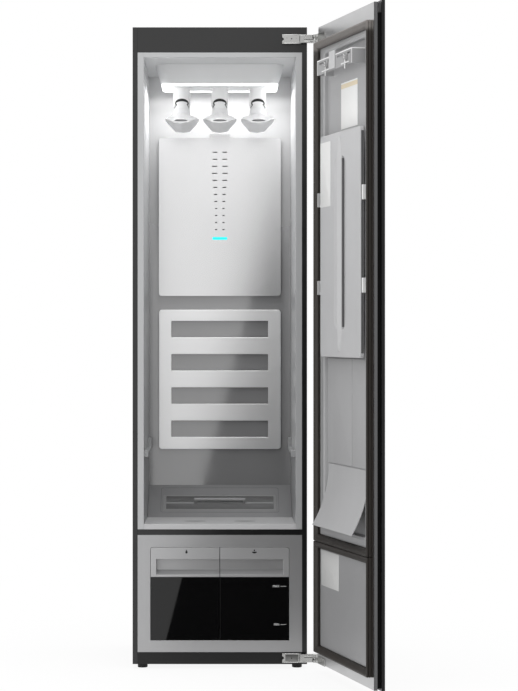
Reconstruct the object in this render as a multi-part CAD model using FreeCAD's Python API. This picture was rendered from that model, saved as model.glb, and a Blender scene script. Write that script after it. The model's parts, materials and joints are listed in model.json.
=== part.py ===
"""Clothes care steam cabinet, as an assembly of separate pieces.

Millimetres. +X is to the right seen from the front, +Y goes back into the cabinet and +Z is up.
The origin is on the floor, under the middle of the cabinet body.
The door is drawn shut and then swung to its rest position, which is open.
"""
import FreeCAD, Part
import math
import os

from FreeCAD import Vector

# ---- fits and clearances ----
RUN = 0.05              # radial clearance of a turning fit
SLIP = 0.3              # gap round a piece that drops or slides in
EASY = 1.0              # gap round a tank or a door trim

# ---- cabinet body ----
WIDTH = 560.0
DEPTH = 560.0
TOP_Z = 2060.0
BODY_Z = 15.5           # underside of the body above the floor
SHEET = 1.5
EDGE_FOLD = 16.0        # front fold of a side panel
REAR_FOLD = 14.0
PAN_RIM = 30.0
PLINTH_H = 38.5
DIVIDER_UP = 39.0       # divider bar above the tank bay
DIVIDER_H = 18.0
HEADER_H = 81.0
BAR_RETURN = 18.0

# ---- feet ----
FOOT_R = 16.0
FOOT_H = 13.0
STEM_R = 8.0
STEM_H = 30.0
FOOT_INSET = 31.0       # stem axis from the side of the body
FOOT_SETBACK = 45.0     # stem axis from the front and the back
BOSS_WALL = 6.0
BOSS_H = 24.0

# ---- cavity ----
SIDE_LIP = 20.0         # width of the front lip beside, above and below the opening
CAVITY_DRAFT = 2.4      # how much the half width narrows towards the back
CAVITY_REAR = 80.0      # space behind the back wall
LOW_LIP = 17.0
TOP_LIP = 16.0
CEILING_DROP = 11.0
LINER = 2.5
FLANGE = 2.0
TRAY_DIP = 2.0          # tray below the front lip
SLOPE_RUN = 180.0
SLOPE_RISE = 96.0
OVAL_X = 81.0
OVAL_BACK = 145.0
OVAL_LONG = 72.0
OVAL_SHORT = 50.0
OVAL_DIP = 1.5
RAIL_UP = 219.0         # shelf rails above the front lip
RAIL_H = 10.0
RAIL_OUT = 10.0
RAIL_START = 60.0
RAIL_BACK = 40.0        # rail end in front of the back wall
RAIL_BLOCK = 30.0
RAIL_BLOCK_LOW = 7.0
RAIL_BLOCK_HIGH = 14.0
RAIL_STOP = 40.0
RAIL_STOP_H = 29.0

# ---- intake filter on the sloped floor ----
SLOPE_PLATE = 4.0
FILTER_SIDE = 51.6      # filter from the side of the sloped floor
FILTER_FROM = 42.0      # along the slope
FILTER_TO = 140.0
FILTER_FRAME = 9.0
FILTER_T = 7.0
FILTER_BARS = 9
FILTER_BAR = 2.4
GRIP_HALF = 86.0
GRIP_WIDE = 12.0
GRIP_H = 16.0
GRIP_T = 4.0
GRIP_POST = 8.0

# ---- back panels ----
PANEL_OUT = 10.0
PANEL_T = 4.0
PANEL_RIM = 5.0
PANEL_SIDE = 36.0       # panels from the side of the cavity
PANEL_CORNER = 10.0
PANEL_GAP = 47.5        # between the two panels
UPPER_DOWN = 219.0      # upper panel below the top of the cavity
HUMP_HALF = 33.0
HUMP_H = 13.0
LOWER_UP = 217.0        # lower panel above the front lip
LOWER_H = 475.5
WINDOW_SIDE = 43.0
WINDOW_UP = 41.0        # lowest window above the edge of its panel
WINDOW_H = 56.0
WINDOW_PITCH = 113.5
WINDOWS = 4
SLOT_DOWN = 48.6        # highest slot below the edge of its panel
SLOT_OVER_LED = 30.4    # lowest slot above the middle of the light bar
SLOT_INNER = 8.9
SLOT_H = 3.4
SLOT_LENGTHS = (15.6, 15.6, 17.8, 17.8, 16.0, 13.3, 11.0, 9.6, 7.3, 7.3, 7.3, 7.3)
LED_UP = 196.0          # light bar above the edge of its panel
LED_HALF = 25.0
LED_H = 9.0
LED_PROUD = 0.6
DUCT_HALF = 60.0

# ---- ceiling unit ----
UNIT_FRONT = 150.0      # depth of its front face behind the front plane
UNIT_LONG = 240.0
UNIT_SIDE = 33.0        # unit from the side of the cavity
UNIT_TAPER_X = 19.5
UNIT_H = 67.0
UNIT_TAPER_Y = 5.0
UNIT_WALL = 3.0
LIGHT_T = 6.0
LIGHT_CHAMFER = 14.0
INSET_SIDE = 34.5       # inset plate from the side, front and back of the unit
INSET_AHEAD = 37.0
INSET_BEHIND = 28.0
INSET_UP = 3.0          # inset plate above the light's lower face
PORT_R = 18.0

# ---- nozzles and hangers ----
NOZZLE_SIDE = 31.0      # outer nozzles from the end of the inset plate
NOZZLE_BEHIND = 115.0   # nozzles behind the front of the unit
NOZZLE_R = 27.75
NOZZLE_BORE = 23.6
NOZZLE_L = 63.0
NOZZLE_FLANGE_R = 30.5
NOZZLE_FLANGE_T = 6.0
ARCH_H = 27.0
SEAL_UP = 8.0
SEAL_T = 19.0
NECK_R = 20.5
NECK_IN = 32.0          # hanger neck inside the nozzle
HANGER_REAR = 30.0      # between a hanger and the back wall
HANGER_DOWN = 30.0      # hanger below the nozzle
HANGER_TIP_DROP = 32.0
HANGER_SPACE = 14.0     # between two hangers
HANGER_TIP_WIDE = 24.0
HANGER_THICK = 17.0
HANGER_TIP_THICK = 8.0
HANGER_WALL = 3.0
HANGER_STATIONS = (-1.0, -0.55, 0.0, 0.55, 1.0)  # of the half length, front to back
OUTLET_WIDE = 17.0
OUTLET_H = 3.5
OUTLET_DEEP = 12.0

# ---- tanks ----
BAY_SIDE = 57.0         # tank bay from the side of the body
BAY_UP = 37.5           # tank bay above the plinth
BAY_H = 299.5
BAY_CORNER = 8.0
BAY_WALL = 2.5
PANEL_SKIN = 2.0
TANK_LONG = 285.0
TANK_WALL = 3.0
TANK_RIM_DROP = 14.0    # rim of the vessel below the top of its cover
COVER_H = 96.0
COVER_DEEP = 45.0
COVER_LID = 4.0
RECESS_SIDE = 19.0
RECESS_UP = 7.0
RECESS_H = 51.0
RECESS_DEEP = 28.0
SPLIT = 1.0             # half of the gap between the two tanks

# ---- door ----
DOOR_OPEN = 103.6       # degrees between shut and the rest position
PIVOT_SIDE = 17.5       # pivot beyond the hinge edge of the door
PIVOT_OUT = 27.0        # pivot in front of the front plane
DOOR_OVER = 17.5        # door beyond the side of the body
DOOR_UP = 11.1          # door above the underside of the body
DOOR_DOWN = 6.5         # door below the top of the body
DOOR_GAP = 22.0         # inner face of the shut door in front of the front plane
PLATE_T = 10.0
CHANNEL_T = 13.0
CHANNEL_INSET = 5.0
CHANNEL_WIDE = 26.0
CAP_H = 30.0
OUTER_T = 10.0
OUTER_PROUD = 1.0
OUTER_DROP = 2.6        # outer panel below and above the inner plate
OUTER_RISE = 6.5
GASKET = 21.0
GASKET_INSET = 12.0     # from the hinge edge
GASKET_FAR = 10.0       # from the handle edge
GASKET_DROP = 11.4      # where the two gaskets meet, below the divider bar
GASKET_UP = 37.3        # from the lower edge of the inner plate
GASKET_DOWN = 51.9      # from its upper edge
GASKET_GAP = 0.5
GROOVE_W = 3.0
GROOVE_D = 4.0
GROOVES = (5.0, 13.0)
RIM_T = 3.0
PAN_INSET = 80.5
PAN_UP = 51.4           # recess above the lower edge of the upper gasket
PAN_DOWN = 43.6         # and below its upper edge
PAN_DEEP = 12.0
LEDGE_UP = 202.0        # ledge above the bottom of the recess
LEDGE_GAP = 4.0         # between the ledge and the press plate, and the drip guide
LEDGE_T = 4.0

# ---- drip guide ----
GUIDE_SIDE = 6.5        # from the side of the recess
GUIDE_UP = 4.0          # above the bottom of the recess
GUIDE_OUT = 43.0
GUIDE_T = 3.0

# ---- trouser press ----
PRESS_SIDE = 2.5        # from the side of the recess
PRESS_UP = 332.0        # above the ledge
PRESS_DOWN = 188.0      # below the trouser holder
PRESS_FACE = 17.5
PRESS_T = 12.0
PRESS_SKIN = 3.0
PRESS_CORNER = 14.0
PRESS_AXIS_OUT = 8.0    # axis beyond the edge of the plate
PRESS_AXIS_P = 8.0
PRESS_KNUCKLE = 5.0
PRESS_PIN = 2.5
PRESS_PIN_L = 8.0
SPINE_HALF = 22.0
SPINE_UP = 18.0
SPINE_DOWN = 14.0
SPINE_TIP = 70.0
GRIP_CHANNEL = 42.0
GRIP_UP = 86.0
GRIP_DOWN = 76.0
GRIP_DEEP = 8.0
CLIP_UP = 217.0
CLIP_DOWN = 198.0
CLIP_H = 44.0
CLIP_EAR = 9.0
CLIP_BACK = 4.0         # ear beyond the knuckle, towards the hinge edge
LATCH_GAP = 4.0
LATCH_W = 13.0

# ---- trouser holder ----
BAND_NEAR = 46.5        # band from the hinge side of the recess
BAND_FAR = 14.5         # and from its handle side
BAND_DOWN = 28.0        # below the top of the recess
BAND_H = 46.0
BAND_FACE = 40.0
BAND_T = 3.0
BLOCK_HALF = 32.0
BLOCK_UP = 3.0
BLOCK_H = 56.0
BLOCK_PROUD = 3.0
TRACK_UP = 34.0
TRACK_H = 6.0
TRACK_END = 23.0        # track from the hinge end of the band
TRACK_MIDDLE = 45.5     # and from the middle of the door
TRACK_FAR = 18.0        # track from the handle end of the band
TRACK_BEYOND = 47.5
CLIP_LEFT = 59.5        # left clip from the middle of the door
CLIP_RIGHT = 53.0       # right clip from the handle end of the band
TONGUE_HALF = 6.0
CARRIAGE_T = 3.0
EAR_T = 3.0
EAR_OUT = 10.0
EAR_H = 12.0
JAW_PIVOT_UP = 21.0
JAW_PIVOT_OUT = 6.3
JAW_PIN = 1.5
JAW_T = 3.5
LEVER_HALF = 5.5
LEVER_DROP = 12.0
LEVER_UP = 31.0
JAW_HALF = 38.0
JAW_UP = 5.0
JAW_H = 7.0

# ---- hinges ----
HINGE_UP = 21.1         # lower hinge above the underside of the body
HINGE_DOWN = 39.0       # upper hinge below the top of the body
BOX_LONG = 61.0
BOX_SIDE = 19.0         # hinge box from the side of the body
BOX_H = 30.0
BOX_OUT = 10.0
BOX_NOTCH = 7.0
ARM_H = 26.0
ARM_NEAR = 4.0
ARM_FAR = 18.0
KNUCKLE_R = 9.0
EYE_H = 8.0
EAR_GAP = 0.3
HINGE_PIN = 3.0
PIN_HEAD = 4.5
PIN_HEAD_H = 1.6
BRACKET_L = 80.0
BRACKET_T = 2.5
BRACKET_H = 24.0

# ---- machine room ----
COMPRESSOR_R = 70.0
COMPRESSOR_H = 190.0
COMPRESSOR_WALL = 8.0
COMPRESSOR_ROUND = 23.0
COMPRESSOR_SIDE = 25.0  # compressor from the side of the body
COMPRESSOR_BACK = 60.0  # and from the rear
GROMMET_R = 12.0
GROMMET_H = 10.0
COIL_GAP = 5.0          # coil beside the steam generator
COIL_SIDE = 52.0        # and from the side of the body
COIL_FRONT = 36.5       # behind the tank bay
COIL_BACK = 15.0        # from the rear
COIL_H = 180.0
COIL_PLATE = 3.0
FINS = 16
FIN = 1.0
COIL_TUBE = 5.0
COIL_ROWS = 4
COIL_COLUMNS = 3
BOILER_GAP = 20.0       # steam generator beside the compressor
BOILER_W = 110.0
BOILER_FRONT = 51.5     # behind the tank bay
BOILER_BACK = 65.0      # in front of the axis of the feed pump
BOILER_H = 160.0
BOILER_WALL = 4.0
PUMP_R = 22.0
PUMP_L = 80.0
PUMP_BACK = 65.0        # axis from the rear
PUMP_FOOT = 8.0
BLOWER_W = 180.0
BLOWER_H = 180.0
BLOWER_T = 68.0
BLOWER_WALL = 3.0
BLOWER_OUTLET = 60.0
BLOWER_RISE = 60.0
BLOWER_MOUTH_R = 41.0
WHEEL_GAP = 28.0        # between the wheel and its case
WHEEL_T = 46.0
WHEEL_HUB = 14.0
WHEEL_PLATE = 2.5
BLADES = 12
BLADE_T = 2.0
BLADE_L = 18.0
SHAFT = 4.0
HOSE_R = 9.0
HOSE_BORE = 6.5
HOSE_X = -30.0
HOSE_BACK = 40.0        # from the rear
HOSE_DOWN = 60.0        # highest run of the hose below the top
HOSE_BEND = 28.0
BOARD_X = (-150.0, 60.0)
BOARD_BACK = (120.0, 240.0)
BOARD_T = 1.6
BOARD_POST = 8.0
BOARD_PARTS = ((-129.0, 14.0), (-77.0, 17.0), (-24.0, 20.0), (28.0, 23.0))  # x and height
BOARD_PART_W = 24.0
BOARD_PART_BACK = (20.0, 62.0)

# ---- rear ----
LOUVRES = 10
LOUVRE_L = 120.0
LOUVRE_H = 5.0
LOUVRE_PITCH = 14.0
LOUVRE_LOW = 90.0
LOUVRE_SIDE = 120.0
INLET_X = -60.0
INLET_Z = 80.0
INLET_W = 27.0
INLET_H = 20.0
INLET_DEEP = 22.0
INLET_FRAME = 4.0
INLET_PIN_L = 13.0
INLET_PITCH = 6.75
TIE_SPACING = 300.0
TIE_DOWN = 70.0
TIE_R = 2.75
SCREWS = 7
SCREW_R = 2.0
SCREW_HEAD = 4.0
SCREW_HEAD_H = 2.0
SCREW_L = 9.0
SCREW_MARGIN = 60.0

# ---- worked out: the body ----
SIDE_X = WIDTH / 2
INSIDE_X = SIDE_X - SHEET
FOLD_X = SIDE_X - EDGE_FOLD
FRONT = -DEPTH / 2
REAR = DEPTH / 2
PAN_TOP = BODY_Z + SHEET * 2
PLINTH_TOP = BODY_Z + PLINTH_H
HEADER_LOW = TOP_Z - HEADER_H
BAY_HALF = SIDE_X - BAY_SIDE
BAY_LOW = PLINTH_TOP + BAY_UP
BAY_HIGH = BAY_LOW + BAY_H
COVER_LOW = BAY_HIGH - COVER_H
RECESS_HALF = BAY_HALF - RECESS_SIDE
RECESS_LOW = COVER_LOW + RECESS_UP
RECESS_HIGH = RECESS_LOW + RECESS_H
DIVIDER_LOW = BAY_HIGH + DIVIDER_UP
DIVIDER_HIGH = DIVIDER_LOW + DIVIDER_H

# ---- worked out: the cavity ----
CAVITY_HALF = FOLD_X - SIDE_LIP
CAVITY_LOW = DIVIDER_HIGH + LOW_LIP
CAVITY_TOP = HEADER_LOW - TOP_LIP
CAVITY_DEPTH = DEPTH - CAVITY_REAR
BACK_Y = FRONT + CAVITY_DEPTH
BACK_HALF = CAVITY_HALF - CAVITY_DRAFT
TRAY_Z = CAVITY_LOW - TRAY_DIP
RAIL_Z = CAVITY_LOW + RAIL_UP
RAIL_END = CAVITY_DEPTH - RAIL_BACK
TRAY_DEPTH = CAVITY_DEPTH - SLOPE_RUN
SLOPE_ANGLE = math.degrees(math.atan2(SLOPE_RISE, SLOPE_RUN))
SLOPE_LONG = math.hypot(SLOPE_RISE, SLOPE_RUN)
FILTER_HALF = BACK_HALF - FILTER_SIDE
PANEL_HALF = CAVITY_HALF - PANEL_SIDE
LOWER_LOW = CAVITY_LOW + LOWER_UP
LOWER_HIGH = LOWER_LOW + LOWER_H
UPPER_LOW = LOWER_HIGH + PANEL_GAP
UPPER_HIGH = CAVITY_TOP - UPPER_DOWN
WINDOW_HALF = PANEL_HALF - WINDOW_SIDE
WINDOW_LOW = LOWER_LOW + WINDOW_UP
SLOT_TOP = UPPER_HIGH - SLOT_DOWN
LED_Z = UPPER_LOW + LED_UP
SLOT_PITCH = (SLOT_TOP - LED_Z - SLOT_OVER_LED) / (len(SLOT_LENGTHS) - 1)
SLOT_ROWS = [SLOT_TOP - SLOT_PITCH * row for row in range(len(SLOT_LENGTHS))]

# ---- worked out: the ceiling unit ----
UNIT_BACK = UNIT_FRONT + UNIT_LONG
UNIT_TOP_HALF = CAVITY_HALF - UNIT_SIDE
UNIT_LOW_HALF = UNIT_TOP_HALF - UNIT_TAPER_X
UNIT_LOW = CAVITY_TOP - UNIT_H
LIGHT_LOW = UNIT_LOW - LIGHT_T
INSET_Z = LIGHT_LOW + INSET_UP
INSET_HALF = UNIT_LOW_HALF - INSET_SIDE
INSET_FRONT = UNIT_FRONT + INSET_AHEAD
INSET_BACK = UNIT_BACK - INSET_BEHIND
NOZZLE_Y = FRONT + UNIT_FRONT + NOZZLE_BEHIND
NOZZLE_PITCH = INSET_HALF - NOZZLE_SIDE
NOZZLE_X = (-NOZZLE_PITCH, 0.0, NOZZLE_PITCH)
NOZZLE_LOW = INSET_Z - NOZZLE_L
ARCH_TOP = NOZZLE_LOW + ARCH_H
SEAL_LOW = NOZZLE_LOW + SEAL_UP
NECK_TOP = NOZZLE_LOW + NECK_IN
HANGER_Z = NOZZLE_LOW - HANGER_DOWN
HANGER_HALF = CAVITY_DEPTH - HANGER_REAR - UNIT_FRONT - NOZZLE_BEHIND
HANGER_WIDE = (NOZZLE_PITCH - HANGER_SPACE) / 2

# ---- worked out: the door ----
DOOR_W = WIDTH + 2 * DOOR_OVER
DOOR_EDGE_X = SIDE_X + DOOR_OVER
DOOR_FACE = FRONT - DOOR_GAP
DOOR_LOW = BODY_Z + DOOR_UP
DOOR_HIGH = TOP_Z - DOOR_DOWN
MIDDLE_U = DOOR_W / 2
OUTER_LOW = DOOR_LOW - OUTER_DROP
OUTER_HIGH = DOOR_HIGH + OUTER_RISE
PIVOT_X = DOOR_EDGE_X + PIVOT_SIDE
PIVOT_Y = FRONT - PIVOT_OUT
GASKET_U = (GASKET_INSET, DOOR_W - GASKET_FAR)
GASKET_LOW = DOOR_LOW + GASKET_UP
GASKET_SPLIT = DIVIDER_LOW - GASKET_DROP
GASKET_HIGH = DOOR_HIGH - GASKET_DOWN
PAN_FLOOR = -PAN_DEEP
PAN_LOW = GASKET_SPLIT + PAN_UP
PAN_HIGH = GASKET_HIGH - PAN_DOWN
LEDGE_Z = PAN_LOW + LEDGE_UP
PRESS_FROM = PAN_INSET + PRESS_SIDE
PRESS_TO = DOOR_W - PAN_INSET - PRESS_SIDE
PRESS_LOW = LEDGE_Z + PRESS_UP
LEDGE_HIGH = PRESS_LOW - LEDGE_GAP
GUIDE_INSET = PAN_INSET + GUIDE_SIDE
GUIDE_TOP = LEDGE_Z - LEDGE_GAP
GUIDE_LOW = PAN_LOW + GUIDE_UP
BAND_FROM = PAN_INSET + BAND_NEAR
BAND_TO = DOOR_W - PAN_INSET - BAND_FAR
BAND_HIGH = PAN_HIGH - BAND_DOWN
BAND_LOW = BAND_HIGH - BAND_H
PRESS_HIGH = BAND_LOW - PRESS_DOWN
PRESS_AXIS_U = PRESS_FROM - PRESS_AXIS_OUT
SPINE_LOW = PRESS_LOW + SPINE_UP
SPINE_HIGH = PRESS_HIGH - SPINE_DOWN
GRIP_LOW = PRESS_LOW + GRIP_UP
GRIP_HIGH = PRESS_HIGH - GRIP_DOWN
CLIP_Z = (PRESS_LOW + CLIP_UP, PRESS_HIGH - CLIP_DOWN)
LATCH_FROM = PRESS_TO + LATCH_GAP
BLOCK_LOW = BAND_LOW + BLOCK_UP
BLOCK_HIGH = BLOCK_LOW + BLOCK_H
TRACK_Z = BAND_LOW + TRACK_UP
TRACK_LEFT = (BAND_FROM + TRACK_END, MIDDLE_U - TRACK_MIDDLE)
TRACK_RIGHT = (MIDDLE_U + TRACK_BEYOND, BAND_TO - TRACK_FAR)
CLIP_U = (MIDDLE_U - CLIP_LEFT, BAND_TO - CLIP_RIGHT)
JAW_PIVOT_Z = BAND_LOW + JAW_PIVOT_UP
LEVER_LOW = BAND_LOW - LEVER_DROP
LEVER_HIGH = BAND_LOW + LEVER_UP
JAW_Z = BAND_LOW + JAW_UP
HINGE_Z = (BODY_Z + HINGE_UP, TOP_Z - HINGE_DOWN)
BOX_TO = SIDE_X - BOX_SIDE
BOX_FROM = BOX_TO - BOX_LONG

# ---- worked out: the machine room and the rear ----
BAY_BACK = FRONT + TANK_LONG + EASY + BAY_WALL
COMPRESSOR_X = COMPRESSOR_SIDE + COMPRESSOR_R - SIDE_X
COMPRESSOR_Y = REAR - COMPRESSOR_BACK - COMPRESSOR_R
PUMP_Y = REAR - PUMP_BACK
BOILER_LEFT = COMPRESSOR_X + COMPRESSOR_R + BOILER_GAP
BOILER_X = (BOILER_LEFT, BOILER_LEFT + BOILER_W)
BOILER_Y = (BAY_BACK + BOILER_FRONT, PUMP_Y - BOILER_BACK)
PUMP_X = sum(BOILER_X) / 2
COIL_X = (BOILER_X[1] + COIL_GAP, SIDE_X - COIL_SIDE)
COIL_Y = (BAY_BACK + COIL_FRONT, REAR - COIL_BACK)
BLOWER_X = (COIL_X[1] - BLOWER_W, COIL_X[1])
WHEEL_R = BLOWER_W / 2 - WHEEL_GAP
HOSE_Y = REAR - HOSE_BACK
HOSE_TOP = TOP_Z - HOSE_DOWN
LOUVRE_X = (LOUVRE_SIDE - SIDE_X, SIDE_X - LOUVRE_SIDE)
TIE_Z = TOP_Z - TIE_DOWN

nodes = {}


# ---- helpers ----
def block(x, y, z):
    """A box between three pairs of limits."""
    return Part.makeBox(x[1] - x[0], y[1] - y[0], z[1] - z[0], Vector(x[0], y[0], z[0]))


def rod(axis, radius, at, span):
    """A cylinder along one axis; at holds its place on the other two axes."""
    a, b = at
    start = {"x": Vector(span[0], a, b), "y": Vector(a, span[0], b), "z": Vector(a, b, span[0])}
    along = {"x": Vector(1, 0, 0), "y": Vector(0, 1, 0), "z": Vector(0, 0, 1)}
    return Part.makeCylinder(radius, span[1] - span[0], start[axis], along[axis])


def prism(points, along):
    """A straight prism on a closed run of corner points."""
    return Part.Face(Part.makePolygon(points + points[:1])).extrude(along)


def joined(shapes):
    """One solid from pieces that touch or overlap."""
    whole = shapes[0].fuse(shapes[1:])
    return whole.removeSplitter()


def rounded(shape, axis, radius, pick=None):
    """Rounds the edges that run along an axis, or only those that pick accepts."""
    number = "xyz".index(axis)
    chosen = []
    for edge in shape.Edges:
        ends = [vertex.Point for vertex in edge.Vertexes]
        if len(ends) != 2:
            continue
        across = [abs(ends[0][i] - ends[1][i]) for i in range(3) if i != number]
        if max(across) < 1e-6 and (pick is None or pick(ends[0])):
            chosen.append(edge)
    return shape.makeFillet(radius, chosen)


def mirrored(shape):
    """The same piece on the other side of the cabinet."""
    return shape.mirror(Vector(0, 0, 0), Vector(1, 0, 0))


def pierced(axis, radius, places, span):
    """Holes along an axis at several places."""
    return [rod(axis, radius, place, span) for place in places]


def leaf(u, p, z):
    """A box on the shut door: u from its hinge edge, p out of its inner face."""
    x = (DOOR_EDGE_X - u[1], DOOR_EDGE_X - u[0])
    return block(x, (DOOR_FACE + p[0], DOOR_FACE + p[1]), z)


def swung(shape):
    """A piece of the shut door, swung to the rest position."""
    turned = shape.copy()
    turned.rotate(Vector(PIVOT_X, PIVOT_Y, 0), Vector(0, 0, 1), DOOR_OPEN)
    return turned


def sloped(shape):
    """A piece drawn flat, set on the sloped floor at the back of the cavity."""
    turned = shape.copy()
    turned.rotate(Vector(0, 0, 0), Vector(1, 0, 0), SLOPE_ANGLE)
    turned.translate(Vector(0, FRONT + TRAY_DEPTH, TRAY_Z))
    return turned


# ---- chassis ----
def foot_places():
    """Stem axes, by name."""
    x = SIDE_X - FOOT_INSET
    front = FRONT + FOOT_SETBACK
    rear = REAR - FOOT_SETBACK
    return {
        "front_left_foot": (-x, front),
        "front_right_foot": (x, front),
        "rear_left_foot": (-x, rear),
        "rear_right_foot": (x, rear),
    }


def make_feet():
    for name, (x, y) in foot_places().items():
        disc = rod("z", FOOT_R, (x, y), (0, FOOT_H))
        stem = rod("z", STEM_R, (x, y), (FOOT_H, FOOT_H + STEM_H))
        nodes[name] = joined([disc, stem])


def make_base_pan():
    y = (FRONT + SHEET, REAR - SHEET)
    outer = block((-INSIDE_X, INSIDE_X), y, (BODY_Z, BODY_Z + PAN_RIM))
    inner_x = INSIDE_X - SHEET
    hollow = block((-inner_x, inner_x), (y[0] + SHEET, y[1] - SHEET), (PAN_TOP, BODY_Z + PAN_RIM))
    plinth = block((-FOLD_X, FOLD_X), (FRONT, FRONT + SHEET), (BODY_Z, PLINTH_TOP))
    lip = block((-FOLD_X, FOLD_X), (FRONT, FRONT + BAR_RETURN), (PLINTH_TOP - SHEET, PLINTH_TOP))
    places = list(foot_places().values())
    bosses = pierced("z", STEM_R + BOSS_WALL, places, (BODY_Z, BODY_Z + BOSS_H))
    bores = pierced("z", STEM_R + RUN, places, (BODY_Z - EASY, TOP_Z))
    nodes["base_pan"] = joined([outer.cut(hollow), plinth, lip] + bosses).cut(bores)


def screw_places():
    """Rear screws: x and z of each."""
    low = BODY_Z + PAN_RIM + SCREW_MARGIN
    step = (TOP_Z - SCREW_MARGIN - low) / (SCREWS - 1)
    x = INSIDE_X - REAR_FOLD / 2
    return [(side * x, low + step * i) for side in (-1, 1) for i in range(SCREWS)]


def make_side_panels():
    sheet = block((INSIDE_X, SIDE_X), (FRONT, REAR), (BODY_Z, TOP_Z))
    fold = block((FOLD_X, INSIDE_X), (FRONT, FRONT + SHEET), (BODY_Z, TOP_Z))
    rear_z = (BODY_Z + PAN_RIM, TOP_Z - SHEET)
    rear = block((INSIDE_X - REAR_FOLD, INSIDE_X), (REAR - 2 * SHEET, REAR - SHEET), rear_z)
    holes = pierced("y", SCREW_R + RUN, screw_places(), (REAR - 3 * SHEET, REAR))
    right = joined([sheet, fold, rear]).cut(holes)
    nodes["right_side_panel"] = right
    left = joined([mirrored(sheet), mirrored(fold), mirrored(rear)])
    nodes["left_side_panel"] = left.cut(holes)


def make_top_panel():
    plate = block((-INSIDE_X, INSIDE_X), (FRONT + SHEET, REAR), (TOP_Z - SHEET, TOP_Z))
    header = block((-FOLD_X, FOLD_X), (FRONT, FRONT + SHEET), (HEADER_LOW, TOP_Z))
    nodes["top_panel"] = joined([plate, header])


def make_rear_panel():
    y = (REAR - SHEET, REAR)
    panel = block((-INSIDE_X, INSIDE_X), y, (BODY_Z, TOP_Z - SHEET))
    through = (y[0] - EASY, y[1] + EASY)
    holes = pierced("y", SCREW_R + RUN, screw_places(), through)
    holes += pierced("y", TIE_R, [(-TIE_SPACING / 2, TIE_Z), (TIE_SPACING / 2, TIE_Z)], through)
    for x in LOUVRE_X:
        for i in range(LOUVRES):
            low = LOUVRE_LOW + LOUVRE_PITCH * i
            holes.append(block((x - LOUVRE_L / 2, x + LOUVRE_L / 2), through, (low, low + LOUVRE_H)))
    inlet_x = (INLET_X - INLET_W / 2 - SLIP, INLET_X + INLET_W / 2 + SLIP)
    inlet_z = (INLET_Z - INLET_H / 2 - SLIP, INLET_Z + INLET_H / 2 + SLIP)
    holes.append(block(inlet_x, through, inlet_z))
    nodes["rear_panel"] = panel.cut(holes)


def make_power_inlet():
    """A mains inlet socket, without its cord."""
    x = (INLET_X - INLET_W / 2, INLET_X + INLET_W / 2)
    z = (INLET_Z - INLET_H / 2, INLET_Z + INLET_H / 2)
    body = block(x, (REAR - INLET_DEEP, REAR), z)
    frame_x = (x[0] - INLET_FRAME, x[1] + INLET_FRAME)
    frame_z = (z[0] - INLET_FRAME, z[1] + INLET_FRAME)
    frame = block(frame_x, (REAR, REAR + SHEET), frame_z)
    pocket_x = (x[0] + SHEET, x[1] - SHEET)
    pocket_z = (z[0] + SHEET, z[1] - SHEET)
    pocket = block(pocket_x, (REAR - INLET_DEEP + SHEET, REAR + 2 * SHEET), pocket_z)
    pins = []
    pin_y = (REAR - INLET_DEEP, REAR - INLET_DEEP + INLET_PIN_L)
    for at in (INLET_X - INLET_PITCH, INLET_X, INLET_X + INLET_PITCH):
        pins.append(block((at - SHEET / 2, at + SHEET / 2), pin_y, (INLET_Z - SHEET, INLET_Z + SHEET)))
    nodes["power_inlet"] = joined([body.fuse(frame).cut(pocket)] + pins)


def make_screws():
    """The rear panel's screws, all alike."""
    screws = []
    for place in screw_places():
        shank = rod("y", SCREW_R, place, (REAR - SCREW_L, REAR))
        head = rod("y", SCREW_HEAD, place, (REAR, REAR + SCREW_HEAD_H))
        screws.append(joined([shank, head]))
    nodes["panel_screws"] = Part.makeCompound(screws)


def make_divider():
    face = block((-FOLD_X, FOLD_X), (FRONT, FRONT + SHEET), (DIVIDER_LOW, DIVIDER_HIGH))
    low = block((-FOLD_X, FOLD_X), (FRONT, FRONT + BAR_RETURN), (DIVIDER_LOW, DIVIDER_LOW + SHEET))
    high = block((-FOLD_X, FOLD_X), (FRONT, FRONT + BAR_RETURN), (DIVIDER_HIGH - SHEET, DIVIDER_HIGH))
    nodes["divider_bar"] = joined([face, low, high])


# ---- cavity ----
def make_liner_walls():
    flange = block((CAVITY_HALF, FOLD_X), (FRONT, FRONT + FLANGE), (DIVIDER_HIGH, HEADER_LOW))
    z = (DIVIDER_HIGH + SHEET, HEADER_LOW)
    outline = [
        Vector(CAVITY_HALF, FRONT, z[0]),
        Vector(CAVITY_HALF + LINER, FRONT, z[0]),
        Vector(BACK_HALF + LINER, BACK_Y, z[0]),
        Vector(BACK_HALF + LINER, BACK_Y + LINER, z[0]),
        Vector(BACK_HALF, BACK_Y + LINER, z[0]),
        Vector(BACK_HALF, BACK_Y, z[0]),
    ]
    wall = prism(outline, Vector(0, 0, z[1] - z[0]))
    inner = BACK_HALF - RAIL_OUT
    outer = CAVITY_HALF
    start = FRONT + RAIL_START
    end = FRONT + RAIL_END
    rail = block((inner, outer), (start, end), (RAIL_Z, RAIL_Z + RAIL_H))
    front = block((inner, outer), (start, start + RAIL_BLOCK),
                  (RAIL_Z - RAIL_BLOCK_LOW, RAIL_Z + RAIL_BLOCK_HIGH))
    stop = block((inner, outer), (end - RAIL_STOP, end), (RAIL_Z + RAIL_H, RAIL_Z + RAIL_H + RAIL_STOP_H))
    right = joined([flange, wall, rail, front, stop])
    nodes["liner_right_wall"] = right
    nodes["liner_left_wall"] = joined([mirrored(s) for s in (flange, wall, rail, front, stop)])


def ceiling_wedge(top):
    """The space above the underside of the sloping ceiling, as far up as top."""
    points = [
        Vector(-CAVITY_HALF, FRONT, CAVITY_TOP),
        Vector(-CAVITY_HALF, BACK_Y, CAVITY_TOP - CEILING_DROP),
        Vector(-CAVITY_HALF, BACK_Y, top),
        Vector(-CAVITY_HALF, FRONT, top),
    ]
    return prism(points, Vector(2 * CAVITY_HALF, 0, 0))


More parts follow.
